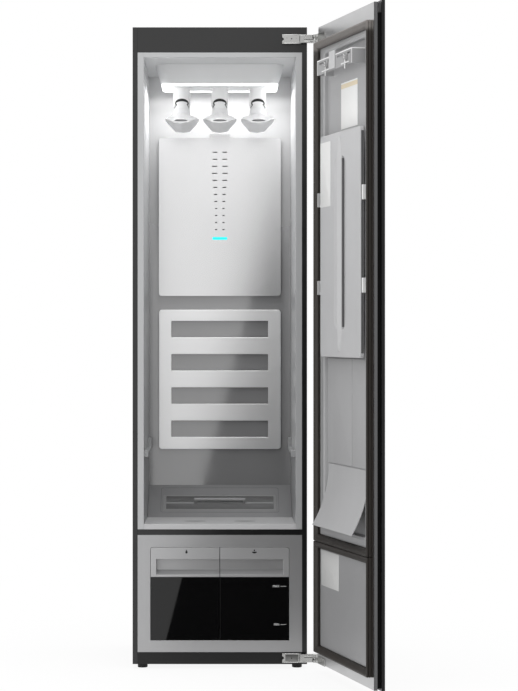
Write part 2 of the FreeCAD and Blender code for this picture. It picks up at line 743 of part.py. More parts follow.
def cavity_plan(low, high):
    """The drafted plan of the cavity between two heights."""
    corners = [
        Vector(-CAVITY_HALF, FRONT, low),
        Vector(CAVITY_HALF, FRONT, low),
        Vector(BACK_HALF, BACK_Y, low),
        Vector(-BACK_HALF, BACK_Y, low),
    ]
    return prism(corners, Vector(0, 0, high - low))


def front_lip(low, high):
    """A flat lip across the front of the cavity, between its walls."""
    reach = block((-CAVITY_HALF, CAVITY_HALF), (FRONT, FRONT + FLANGE), (low, high))
    return reach.common(cavity_plan(low, high))


def make_liner_ceiling():
    wedge = ceiling_wedge(CAVITY_TOP + FLANGE)
    above = wedge.copy()
    above.translate(Vector(0, 0, LINER))
    sheet = wedge.cut(above).common(cavity_plan(DIVIDER_HIGH, TOP_Z))
    flange = front_lip(CAVITY_TOP, HEADER_LOW)
    port = rod("z", HOSE_R + SLIP, (HOSE_X, NOZZLE_Y), (UNIT_LOW, TOP_Z))
    nodes["liner_ceiling"] = joined([sheet, flange]).cut(port)


def make_liner_back():
    wall = block((-BACK_HALF, BACK_HALF), (BACK_Y, BACK_Y + LINER),
                 (DIVIDER_HIGH + SHEET, CAVITY_TOP - CEILING_DROP))
    duct = block((-DUCT_HALF, DUCT_HALF), (BACK_Y - EASY, BACK_Y + LINER + EASY),
                 (SLOT_ROWS[-1] - SLOT_PITCH, SLOT_ROWS[0] + SLOT_PITCH))
    nodes["liner_back_wall"] = wall.cut(duct)


def make_floor_tray():
    flange = front_lip(DIVIDER_HIGH, CAVITY_LOW)
    floor = cavity_plan(TRAY_Z - LINER, TRAY_Z)
    floor = floor.common(block((-CAVITY_HALF, CAVITY_HALF), (FRONT, FRONT + TRAY_DEPTH), (0, TRAY_Z)))
    dips = []
    for x in (-OVAL_X, OVAL_X):
        oval = Part.Ellipse(Vector(x, FRONT + OVAL_BACK, TRAY_Z - OVAL_DIP), OVAL_LONG / 2, OVAL_SHORT / 2)
        dips.append(Part.Face(Part.Wire(oval.toShape())).extrude(Vector(0, 0, OVAL_DIP * 2)))
    nodes["floor_tray"] = joined([flange, floor]).cut(dips)


def make_intake_housing():
    plate = block((-BACK_HALF, BACK_HALF), (0, SLOPE_LONG), (-SLOPE_PLATE, 0))
    opening = block((-FILTER_HALF - SLIP, FILTER_HALF + SLIP), (FILTER_FROM - SLIP, FILTER_TO + SLIP),
                    (-SLOPE_PLATE - EASY, EASY))
    seat_x = FILTER_HALF + SLIP
    ledges = []
    for at in (FILTER_FROM - SLIP, FILTER_TO + SLIP - FILTER_FRAME / 2):
        ledges.append(block((-seat_x, seat_x), (at, at + FILTER_FRAME / 2),
                            (-FILTER_T - SHEET, -FILTER_T)))
    hangs = block((-seat_x - SHEET, seat_x + SHEET),
                  (FILTER_FROM - SLIP - SHEET, FILTER_TO + SLIP + SHEET), (-FILTER_T - SHEET, -SLOPE_PLATE))
    inside = block((-seat_x, seat_x), (FILTER_FROM - SLIP, FILTER_TO + SLIP), (-FILTER_T - 2 * SHEET, 0))
    housing = sloped(joined([plate.cut(opening), hangs.cut(inside)] + ledges))
    # its front and back edges end square against the tray and the back wall
    keep = block((-BACK_HALF, BACK_HALF), (FRONT + TRAY_DEPTH, BACK_Y), (DIVIDER_HIGH, CAVITY_TOP))
    nodes["intake_housing"] = housing.common(keep)


def make_filter():
    """A lift-out grille: a frame, cross bars, a middle rail and a grip that stands on two posts."""
    outer = block((-FILTER_HALF, FILTER_HALF), (FILTER_FROM, FILTER_TO), (-FILTER_T, 0))
    inner = block((-FILTER_HALF + FILTER_FRAME, FILTER_HALF - FILTER_FRAME),
                  (FILTER_FROM + FILTER_FRAME, FILTER_TO - FILTER_FRAME), (-FILTER_T - EASY, EASY))
    pieces = [outer.cut(inner)]
    middle = (FILTER_FROM + FILTER_TO) / 2
    span = FILTER_TO - FILTER_FROM - 2 * FILTER_FRAME
    for i in range(1, FILTER_BARS + 1):
        at = FILTER_FROM + FILTER_FRAME + span * i / (FILTER_BARS + 1)
        pieces.append(block((-FILTER_HALF + EASY, FILTER_HALF - EASY),
                            (at - FILTER_BAR / 2, at + FILTER_BAR / 2), (-FILTER_T, -SHEET)))
    pieces.append(block((-FILTER_HALF + EASY, FILTER_HALF - EASY),
                        (middle - GRIP_WIDE / 2, middle + GRIP_WIDE / 2), (-FILTER_T, 0)))
    for side in (-1, 1):
        at = side * (GRIP_HALF - GRIP_POST / 2)
        pieces.append(block((at - GRIP_POST / 2, at + GRIP_POST / 2),
                            (middle - GRIP_WIDE / 2, middle + GRIP_WIDE / 2), (0, GRIP_H)))
    pieces.append(block((-GRIP_HALF, GRIP_HALF), (middle - GRIP_WIDE / 2, middle + GRIP_WIDE / 2),
                        (GRIP_H - GRIP_T, GRIP_H)))
    nodes["filter_grille"] = sloped(joined(pieces))


def panel_shell(low, high):
    """A thin panel on the back wall, with a rim that stands on the wall."""
    y = (BACK_Y - PANEL_OUT, BACK_Y)
    outer = rounded(block((-PANEL_HALF, PANEL_HALF), y, (low, high)), "y", PANEL_CORNER)
    inset = PANEL_HALF - PANEL_RIM
    hollow = block((-inset, inset), (y[0] + PANEL_T, y[1] + EASY), (low + PANEL_RIM, high - PANEL_RIM))
    return outer.cut(rounded(hollow, "y", PANEL_CORNER - PANEL_RIM))


def make_upper_back_panel():
    shell = panel_shell(UPPER_LOW, UPPER_HIGH)
    hump = block((-HUMP_HALF, HUMP_HALF), (BACK_Y - PANEL_OUT, BACK_Y),
                 (UPPER_HIGH - EASY, UPPER_HIGH + HUMP_H))
    through = (BACK_Y - PANEL_OUT - EASY, BACK_Y - PANEL_OUT + PANEL_T + EASY)
    holes = []
    for z, length in zip(SLOT_ROWS, SLOT_LENGTHS):
        for side in (-1, 1):
            x = sorted((side * SLOT_INNER, side * (SLOT_INNER + length)))
            holes.append(block(x, through, (z - SLOT_H / 2, z + SLOT_H / 2)))
    holes.append(block((-LED_HALF, LED_HALF), through, (LED_Z - LED_H / 2, LED_Z + LED_H / 2)))
    nodes["upper_back_panel"] = joined([shell, hump]).cut(holes)
    y = (BACK_Y - PANEL_OUT - LED_PROUD, BACK_Y - PANEL_OUT + PANEL_T)
    nodes["led_bar"] = block((-LED_HALF, LED_HALF), y, (LED_Z - LED_H / 2, LED_Z + LED_H / 2))


def make_lower_back_panel():
    through = (BACK_Y - PANEL_OUT - EASY, BACK_Y + EASY)
    windows = []
    for i in range(WINDOWS):
        low = WINDOW_LOW + WINDOW_PITCH * i
        windows.append(block((-WINDOW_HALF, WINDOW_HALF), through, (low, low + WINDOW_H)))
    nodes["lower_back_panel"] = panel_shell(LOWER_LOW, LOWER_HIGH).cut(windows)


# ---- ceiling unit ----
def frustum(low_half, top_half, y_low, y_top, z):
    """A block with sloping sides."""
    def loop(half, y, height):
        corners = [Vector(-half, y[0], height), Vector(half, y[0], height),
                   Vector(half, y[1], height), Vector(-half, y[1], height)]
        return Part.makePolygon(corners + corners[:1])
    return Part.makeLoft([loop(low_half, y_low, z[0]), loop(top_half, y_top, z[1])], True, True)


def make_ceiling_unit():
    y_top = (FRONT + UNIT_FRONT, FRONT + UNIT_BACK)
    y_low = (y_top[0] + UNIT_TAPER_Y, y_top[1] - UNIT_TAPER_Y)
    top = CAVITY_TOP
    wall = UNIT_WALL
    outer = frustum(UNIT_LOW_HALF, UNIT_TOP_HALF, y_low, y_top, (UNIT_LOW, top))
    hollow = frustum(UNIT_LOW_HALF - wall, UNIT_TOP_HALF - wall, (y_low[0] + wall, y_low[1] - wall),
                     (y_top[0] + wall, y_top[1] - wall), (UNIT_LOW + wall, top + EASY))
    inset_y = (FRONT + INSET_FRONT, FRONT + INSET_BACK)
    inset = block((-INSET_HALF, INSET_HALF), inset_y, (INSET_Z, UNIT_LOW))
    ports = pierced("z", PORT_R, [(x, NOZZLE_Y) for x in NOZZLE_X], (INSET_Z - EASY, UNIT_LOW + 2 * wall))
    body = joined([outer.cut(hollow), inset]).cut(ports)
    nodes["ceiling_housing"] = body.cut(ceiling_wedge(TOP_Z))
    c = LIGHT_CHAMFER
    half = UNIT_LOW_HALF
    outline = [
        Vector(-half + c, y_low[0], LIGHT_LOW), Vector(half - c, y_low[0], LIGHT_LOW),
        Vector(half, y_low[0] + c, LIGHT_LOW), Vector(half, y_low[1] - c, LIGHT_LOW),
        Vector(half - c, y_low[1], LIGHT_LOW), Vector(-half + c, y_low[1], LIGHT_LOW),
        Vector(-half, y_low[1] - c, LIGHT_LOW), Vector(-half, y_low[0] + c, LIGHT_LOW),
    ]
    plate = prism(outline, Vector(0, 0, LIGHT_T))
    gap = block((-INSET_HALF - SLIP, INSET_HALF + SLIP), (inset_y[0] - SLIP, inset_y[1] + SLIP),
                (LIGHT_LOW - EASY, UNIT_LOW + EASY))
    nodes["ceiling_light_frame"] = plate.cut(gap)


def make_nozzles():
    nozzles = []
    seals = []
    for x in NOZZLE_X:
        at = (x, NOZZLE_Y)
        tube = rod("z", NOZZLE_R, at, (NOZZLE_LOW, INSET_Z))
        collar = rod("z", NOZZLE_FLANGE_R, at, (INSET_Z - NOZZLE_FLANGE_T, INSET_Z))
        bore = rod("z", NOZZLE_BORE, at, (NOZZLE_LOW - EASY, INSET_Z - NOZZLE_FLANGE_T))
        port = rod("z", PORT_R, at, (NOZZLE_LOW, INSET_Z + EASY))
        arch = block((x - NOZZLE_BORE, x + NOZZLE_BORE), (NOZZLE_Y - NOZZLE_R - EASY, NOZZLE_Y),
                     (NOZZLE_LOW - EASY, SEAL_LOW))
        crown = rod("y", NOZZLE_BORE, (x, SEAL_LOW), (NOZZLE_Y - NOZZLE_R - EASY, NOZZLE_Y))
        crown = crown.common(block((x - NOZZLE_BORE, x + NOZZLE_BORE),
                                   (NOZZLE_Y - NOZZLE_R - EASY, NOZZLE_Y), (SEAL_LOW, ARCH_TOP)))
        nozzles.append(joined([tube, collar]).cut([bore, port, arch, crown]))
        seal = rod("z", NOZZLE_BORE, at, (SEAL_LOW, SEAL_LOW + SEAL_T))
        seals.append(seal.cut(rod("z", NECK_R + SLIP, at, (SEAL_LOW - EASY, SEAL_LOW + SEAL_T + EASY))))
    nodes["steam_nozzles"] = Part.makeCompound(nozzles)
    nodes["nozzle_seals"] = Part.makeCompound(seals)


def oval_wire(x, y, z, wide, high):
    """An upright oval, facing the front."""
    curve = Part.Ellipse(Vector(0, 0, 0), wide, high)
    edge = curve.toShape()
    edge.rotate(Vector(0, 0, 0), Vector(1, 0, 0), 90)
    edge.translate(Vector(x, y, z))
    return Part.Wire(edge)


def hanger_loft(x, wall):
    """The shoulders' outside, or the hollow that leaves a wall."""
    wires = []
    for step in HANGER_STATIONS:
        share = step * step
        wide = HANGER_WIDE + (HANGER_TIP_WIDE - HANGER_WIDE) * share - wall
        thick = HANGER_THICK + (HANGER_TIP_THICK - HANGER_THICK) * share - wall
        z = HANGER_Z - HANGER_TIP_DROP * share
        wires.append(oval_wire(x, NOZZLE_Y + (HANGER_HALF - wall) * step, z, wide, thick))
    return Part.makeLoft(wires, True, False)


def make_hangers():
    """Hollow shoulders that slope down to a tip at the front and at the back, on a hollow neck."""
    for name, x in zip(("hanger_left", "hanger_centre", "hanger_right"), NOZZLE_X):
        outside = hanger_loft(x, 0.0)
        inside = hanger_loft(x, HANGER_WALL)
        neck = rod("z", NECK_R, (x, NOZZLE_Y), (HANGER_Z, NECK_TOP))
        bore = rod("z", NECK_R - HANGER_WALL, (x, NOZZLE_Y), (HANGER_Z, NECK_TOP + EASY))
        tip_z = HANGER_Z - HANGER_TIP_DROP
        tip_y = NOZZLE_Y - HANGER_HALF
        outlet = Part.Face(oval_wire(x, tip_y - EASY, tip_z, OUTLET_WIDE, OUTLET_H))
        outlet = outlet.extrude(Vector(0, OUTLET_DEEP + EASY, 0))
        nodes[name] = outside.fuse(neck).cut([inside, bore, outlet])


# ---- tanks ----
def make_lower_front_panel():
    skin = block((-FOLD_X, FOLD_X), (FRONT, FRONT + PANEL_SKIN), (PLINTH_TOP, DIVIDER_LOW))
    opening = block((-BAY_HALF, BAY_HALF), (FRONT - EASY, FRONT + PANEL_SKIN + EASY), (BAY_LOW, BAY_HIGH))
    opening = rounded(opening, "y", BAY_CORNER, lambda point: point.z > COVER_LOW)
    nodes["lower_front_panel"] = skin.cut(opening)


def make_tank_bay():
    """The case that the tanks slide into; it hangs behind the lower front panel."""
    wall = BAY_WALL
    y = (FRONT + PANEL_SKIN, FRONT + TANK_LONG + EASY)
    outer = block((-BAY_HALF - wall, BAY_HALF + wall), (y[0], y[1] + wall), (BAY_LOW - wall, BAY_HIGH + wall))
    hollow = block((-BAY_HALF, BAY_HALF), (y[0] - EASY, y[1]), (BAY_LOW, BAY_HIGH))
    # two legs carry the far end on the base pan
    legs = []
    for side in (-1, 1):
        x = sorted((side * BAY_HALF / 2, side * (BAY_HALF / 2 + BAR_RETURN)))
        legs.append(block(x, (y[1] - BAR_RETURN, y[1] + wall), (PAN_TOP, BAY_LOW)))
    nodes["tank_bay"] = joined([outer.cut(hollow)] + legs)


def make_tank(name, side):
    """A vessel open at the top, and a cover with a finger recess and a lid."""
    near = SPLIT
    far = BAY_HALF - EASY
    x = (near, far)
    low = BAY_LOW + SLIP
    top = BAY_HIGH - EASY
    rim = top - TANK_RIM_DROP
    y = (FRONT, FRONT + TANK_LONG)
    step_y = FRONT + COVER_DEEP
    step = block((near - EASY, far + EASY), (y[0] - EASY, step_y), (COVER_LOW, rim + EASY))
    wall = TANK_WALL
    inside_x = (near + wall, far - wall)
    deep = block(inside_x, (step_y + wall, y[1] - wall), (low + wall, rim + EASY))
    under = block(inside_x, (y[0] + wall, step_y + wall + EASY), (low + wall, COVER_LOW - wall))
    vessel = block(x, y, (low, rim)).cut([step, deep, under])

    front = block(x, (y[0], step_y - SLIP), (COVER_LOW + SLIP, top))
    front = rounded(front, "y", BAY_CORNER - EASY,
                    lambda point: point.x > RECESS_HALF and point.z > RECESS_HIGH)
    recess = block((near - EASY, RECESS_HALF), (y[0] - EASY, y[0] + RECESS_DEEP), (RECESS_LOW, RECESS_HIGH))
    ramp = prism(
        [
            Vector(near, y[0], RECESS_LOW),
            Vector(near, y[0] + RECESS_DEEP, RECESS_LOW),
            Vector(near, y[0] + RECESS_DEEP, RECESS_LOW + RECESS_DEEP / 2),
        ],
        Vector(RECESS_HALF - near, 0, 0),
    )
    lid = block(x, (step_y - SLIP, y[1]), (rim, rim + COVER_LID))
    cover = joined([front.cut(recess), ramp, lid])
    if side < 0:
        vessel = mirrored(vessel)
        cover = mirrored(cover)
    nodes[name] = vessel
    nodes[name + "_cover"] = cover


# ---- machine room ----
def make_compressor():
    at = (COMPRESSOR_X, COMPRESSOR_Y)
    low = PAN_TOP + GROMMET_H
    can = rod("z", COMPRESSOR_R, at, (low, low + COMPRESSOR_H))
    crown = [edge for edge in can.Edges if edge.Closed and edge.BoundBox.ZMin > low + SHEET]
    can = can.makeFillet(COMPRESSOR_ROUND, crown)
    feet = []
    reach = COMPRESSOR_R - GROMMET_R
    for x in (-1, 1):
        for y in (-1, 1):
            place = (at[0] + x * reach, at[1] + y * reach)
            feet.append(rod("z", GROMMET_R, place, (PAN_TOP, low + SHEET)))
    plate = block((at[0] - COMPRESSOR_R, at[0] + COMPRESSOR_R),
                  (at[1] - COMPRESSOR_R, at[1] + COMPRESSOR_R), (low, low + SHEET))
    wall = COMPRESSOR_WALL
    hollow = rod("z", COMPRESSOR_R - 2 * wall, at, (low + wall, low + COMPRESSOR_H - wall))
    nodes["compressor"] = joined([can, plate] + feet).cut(hollow)


def make_heat_exchanger():
    """Two end plates, a row of fins and the tubes that run through them."""
    z = (PAN_TOP, PAN_TOP + COIL_H)
    pieces = []
    step = (COIL_X[1] - COIL_X[0] - COIL_PLATE) / (FINS + 1)
    for i in range(FINS + 2):
        thick = COIL_PLATE if i in (0, FINS + 1) else FIN
        at = COIL_X[0] + step * i
        pieces.append(block((at, at + thick), COIL_Y, z))
    for row in range(1, COIL_ROWS + 1):
        for column in range(1, COIL_COLUMNS + 1):
            y = COIL_Y[0] + (COIL_Y[1] - COIL_Y[0]) * column / (COIL_COLUMNS + 1)
            pieces.append(rod("x", COIL_TUBE, (y, z[0] + COIL_H * row / (COIL_ROWS + 1)), COIL_X))
    nodes["heat_exchanger"] = joined(pieces)


def make_boiler():
    """The steam generator: a closed box with a hollow, and a spigot for the hose."""
    z = (PAN_TOP, PAN_TOP + BOILER_H)
    outer = block(BOILER_X, BOILER_Y, z)
    wall = BOILER_WALL
    hollow = block((BOILER_X[0] + wall, BOILER_X[1] - wall), (BOILER_Y[0] + wall, BOILER_Y[1] - wall),
                   (z[0] + wall, z[1] - wall))
    nodes["steam_generator"] = outer.cut(hollow)


def make_feed_pump():
    low = PAN_TOP + PUMP_FOOT
    can = rod("x", PUMP_R, (PUMP_Y, low + PUMP_R), (PUMP_X - PUMP_L / 2, PUMP_X + PUMP_L / 2))
    foot = block((PUMP_X - PUMP_L / 4, PUMP_X + PUMP_L / 4), (PUMP_Y - PUMP_R / 2, PUMP_Y + PUMP_R / 2),
                 (PAN_TOP, low + PUMP_R / 2))
    nodes["feed_pump"] = joined([can, foot])


def blower_centre():
    """Axis of the blower wheel: x and z."""
    return (sum(BLOWER_X) / 2, PAN_TOP + COIL_H + BLOWER_H / 2)


def make_blower():
    """A scroll on top of the heat exchanger; its outlet leads up behind the back wall."""
    x, z = blower_centre()
    base = PAN_TOP + COIL_H
    y = (COIL_Y[1] - BLOWER_T, COIL_Y[1])
    wall = BLOWER_WALL
    outlet_x = (BLOWER_X[1] - BLOWER_OUTLET, BLOWER_X[1])
    case = block(BLOWER_X, y, (base, base + BLOWER_H))
    case = rounded(case, "y", BLOWER_OUTLET / 2, lambda point: point.x < x)
    rise = block(outlet_x, y, (base + BLOWER_H - EASY, base + BLOWER_H + BLOWER_RISE))
    inside_y = (y[0] + wall, y[1] - wall)
    inside = block((BLOWER_X[0] + wall, BLOWER_X[1] - wall), inside_y, (base + wall, base + BLOWER_H - wall))
    inside = rounded(inside, "y", BLOWER_OUTLET / 2 - wall, lambda point: point.x < x)
    duct = block((outlet_x[0] + wall, outlet_x[1] - wall), inside_y,
                 (base + BLOWER_H / 2, base + BLOWER_H + BLOWER_RISE + EASY))
    mouth = rod("y", BLOWER_MOUTH_R, (x, z), (y[0] - EASY, y[0] + wall + EASY))
    inner = inside_y[1]
    shaft = rod("y", SHAFT, (x, z), (inner - WHEEL_T - EASY, inner))
    stator = rod("y", WHEEL_HUB, (x, z), (inner - wall, inner))
    shell = joined([case, rise]).cut([inside, duct, mouth])
    nodes["blower_housing"] = joined([shell, shaft, stator])

    back = inner - wall - EASY
    span = (back - WHEEL_T + wall, back)
    plate = rod("y", WHEEL_R, (x, z), (back - WHEEL_PLATE, back))
    hub = rod("y", WHEEL_HUB, (x, z), span)
    blades = []
    for i in range(BLADES):
        blade = block((x + WHEEL_R - BLADE_L, x + WHEEL_R - BLADE_T), span,
                      (z - BLADE_T / 2, z + BLADE_T / 2))
        blade.rotate(Vector(x, 0, z), Vector(0, 1, 0), 360.0 * i / BLADES)
        blades.append(blade)
    rim = rod("y", WHEEL_R, (x, z), (span[0], span[0] + WHEEL_PLATE))
    eye = rod("y", WHEEL_R - BLADE_L - EASY, (x, z), (span[0] - EASY, span[0] + WHEEL_PLATE + EASY))
    rim = rim.cut(eye)
    bore = rod("y", SHAFT + RUN, (x, z), (span[0] - EASY, span[1] + EASY))
    nodes["blower_wheel"] = joined([plate, hub, rim] + blades).cut(bore)


def make_steam_hose():
    """From the steam generator up behind the back wall, forward over the ceiling and down."""
    low = PAN_TOP + BOILER_H
    level = (low + TRAY_Z) / 2
    stops = [
        Vector(HOSE_X, sum(BOILER_Y) / 2, low),
        Vector(HOSE_X, sum(BOILER_Y) / 2, level),
        Vector(HOSE_X, HOSE_Y, level),
        Vector(HOSE_X, HOSE_Y, HOSE_TOP),
        Vector(HOSE_X, NOZZLE_Y, HOSE_TOP),
        Vector(HOSE_X, NOZZLE_Y, CAVITY_TOP - CEILING_DROP),
    ]
    edges = []
    here = stops[0]
    for before, corner, after in zip(stops, stops[1:], stops[2:]):
        arrive = (corner - before).normalize()
        leave = (after - corner).normalize()
        start = corner - arrive * HOSE_BEND
        end = corner + leave * HOSE_BEND
        middle = corner + (leave - arrive) * (HOSE_BEND * (1 - math.sqrt(0.5)))
        edges.append(Part.LineSegment(here, start).toShape())
        edges.append(Part.Arc(start, middle, end).toShape())
        here = end
    edges.append(Part.LineSegment(here, stops[-1]).toShape())
    path = Part.Wire(edges)
    tubes = []
    for radius in (HOSE_R, HOSE_BORE):
        ring = Part.Wire(Part.makeCircle(radius, stops[0], Vector(0, 0, 1)))
        tubes.append(path.makePipeShell([ring], True, True))
    nodes["steam_hose"] = tubes[0].cut(tubes[1])


def make_control_board():
    """A circuit board on posts above the cavity, with its larger components."""
    y = (FRONT + BOARD_BACK[0], FRONT + BOARD_BACK[1])
    low = CAVITY_TOP + LINER + BOARD_POST
    pieces = [block(BOARD_X, y, (low, low + BOARD_T))]
    part_y = (y[0] + BOARD_PART_BACK[0], y[0] + BOARD_PART_BACK[1])
    for x, high in BOARD_PARTS:
        pieces.append(block((x, x + BOARD_PART_W), part_y, (low + BOARD_T, low + high)))
    for x in (BOARD_X[0] + BOARD_POST, BOARD_X[1] - BOARD_POST):
        for at in (y[0] + BOARD_POST, y[1] - BOARD_POST):
            post = rod("z", BOARD_POST / 2, (x, at), (CAVITY_TOP - CEILING_DROP, low))
            pieces.append(post.cut(ceiling_below()))
    nodes["control_board"] = joined(pieces)


def ceiling_below():
    """The cavity and its ceiling sheet, to stand pieces on its sloping upper side."""
    wedge = ceiling_wedge(TOP_Z)
    wedge.translate(Vector(0, 0, LINER))
    return block((-SIDE_X, SIDE_X), (FRONT, REAR), (0, TOP_Z)).cut(wedge)


# ---- door ----
def door_ring(u, z, p, wide):
    """A rectangular frame on the door: its outer limits, thickness and width."""
    inner = leaf((u[0] + wide, u[1] - wide), (p[0] - EASY, p[1] + EASY), (z[0] + wide, z[1] - wide))
    return leaf(u, p, z).cut(inner)


def pan_outer(gap):
    """The outside of the upper liner's recess, with a gap round it."""
    grow = LINER + gap
    return leaf((PAN_INSET - grow, DOOR_W - PAN_INSET + grow), (PAN_FLOOR - grow, RIM_T + gap),
                (PAN_LOW - grow, PAN_HIGH + grow))


def make_door_shell():
    sheet = leaf((0, DOOR_W), (-SHEET, 0), (DOOR_LOW, DOOR_HIGH))
    folds = door_ring((0, DOOR_W), (DOOR_LOW, DOOR_HIGH), (-PLATE_T, 0), SHEET)
    cap = leaf((CHANNEL_INSET, DOOR_W - CHANNEL_INSET), (-PLATE_T - CHANNEL_T, -PLATE_T),
               (DOOR_HIGH - CAP_H, DOOR_HIGH))
    cap = cap.cut(leaf((CHANNEL_INSET + SHEET, DOOR_W - CHANNEL_INSET - SHEET),
                       (-PLATE_T - CHANNEL_T - EASY, -PLATE_T),
                       (DOOR_HIGH - CAP_H - EASY, DOOR_HIGH - SHEET)))
    tie = leaf((0, DOOR_W), (-PLATE_T, -PLATE_T + SHEET), (DOOR_HIGH - CAP_H, DOOR_HIGH))
    plate = joined([sheet, folds, cap, tie]).cut(pan_outer(SLIP))
    nodes["door_inner_plate"] = swung(plate)

    ring = door_ring((CHANNEL_INSET, DOOR_W - CHANNEL_INSET),
                     (DOOR_LOW + CHANNEL_INSET, DOOR_HIGH - CAP_H),
                     (-PLATE_T - CHANNEL_T, -PLATE_T), CHANNEL_WIDE)
    nodes["door_channel"] = swung(ring)

    u = (-OUTER_PROUD, DOOR_W + OUTER_PROUD)
    back = -PLATE_T - CHANNEL_T
    face = leaf(u, (back - OUTER_T, back - OUTER_T + SHEET), (OUTER_LOW, OUTER_HIGH))
    edge = door_ring(u, (OUTER_LOW, OUTER_HIGH), (back - OUTER_T, back), SHEET)
    land = door_ring(u, (OUTER_LOW, OUTER_HIGH), (back - SHEET, back), CHANNEL_INSET + CHANNEL_WIDE)
    nodes["door_outer_panel"] = swung(joined([face, edge, land]))


def gasket(low, high):
    """A square-section sealing frame with two bellows grooves round its outside."""
    u = GASKET_U
    frame = door_ring(u, (low, high), (0, GASKET), GASKET)
    for start in GROOVES:
        cutter = door_ring((u[0] - EASY, u[1] + EASY), (low - EASY, high + EASY),
                           (start, start + GROOVE_W), GROOVE_D + EASY)
        frame = frame.cut(cutter)
    return frame


def make_gaskets():
    upper = gasket(GASKET_SPLIT, GASKET_HIGH)
    lower = gasket(GASKET_LOW, GASKET_SPLIT - GASKET_GAP)
    nodes["door_gaskets"] = Part.makeCompound([swung(upper), swung(lower)])


def make_door_liners():
    inside = (GASKET_U[0] + GASKET + EASY, GASKET_U[1] - GASKET - EASY)
    rim = leaf(inside, (0, RIM_T),
               (GASKET_SPLIT + GASKET + EASY, GASKET_HIGH - GASKET - EASY))
    recess = leaf((PAN_INSET, DOOR_W - PAN_INSET), (PAN_FLOOR, RIM_T + EASY), (PAN_LOW, PAN_HIGH))
    upper = joined([rim, pan_outer(0)]).cut(recess)
    ledge = leaf((PAN_INSET, DOOR_W - PAN_INSET), (PAN_FLOOR, PAN_FLOOR + LEDGE_T), (LEDGE_Z, LEDGE_HIGH))
    nodes["upper_door_liner"] = swung(joined([upper, ledge]))

    lower = leaf(inside, (0, RIM_T),
                 (GASKET_LOW + GASKET + EASY, GASKET_SPLIT - GASKET_GAP - GASKET - EASY))
    nodes["lower_door_liner"] = swung(rounded(lower, "y", BAY_CORNER))


def make_drip_guide():
    """A flap that leaves the liner upright and curves out over the cavity's front lip."""
    back = PAN_FLOOR
    reach = GUIDE_OUT - back
    drop = GUIDE_TOP - GUIDE_LOW
    radius = (reach * reach + drop * drop) / (2 * reach)
    sweep = math.asin(drop / radius)

    def arc(r):
        """The arc of radius r about the flap's centre, as three points from its top."""
        points = []
        for share in (0.0, 0.5, 1.0):
            angle = sweep * share
            p = back + radius - r * math.cos(angle)
            z = GUIDE_TOP - r * math.sin(angle)
            points.append(Vector(DOOR_EDGE_X - GUIDE_INSET, DOOR_FACE + p, z))
        return points

    outer = arc(radius)
    inner = arc(radius - GUIDE_T)
    edges = [
        Part.Arc(*outer).toShape(),
        Part.LineSegment(outer[2], inner[2]).toShape(),
        Part.Arc(*inner).toShape(),
        Part.LineSegment(inner[0], outer[0]).toShape(),
    ]
    face = Part.Face(Part.Wire(Part.__sortEdges__(edges)))
    flap = face.extrude(Vector(-(DOOR_W - 2 * GUIDE_INSET), 0, 0))
    nodes["drip_guide"] = swung(flap)


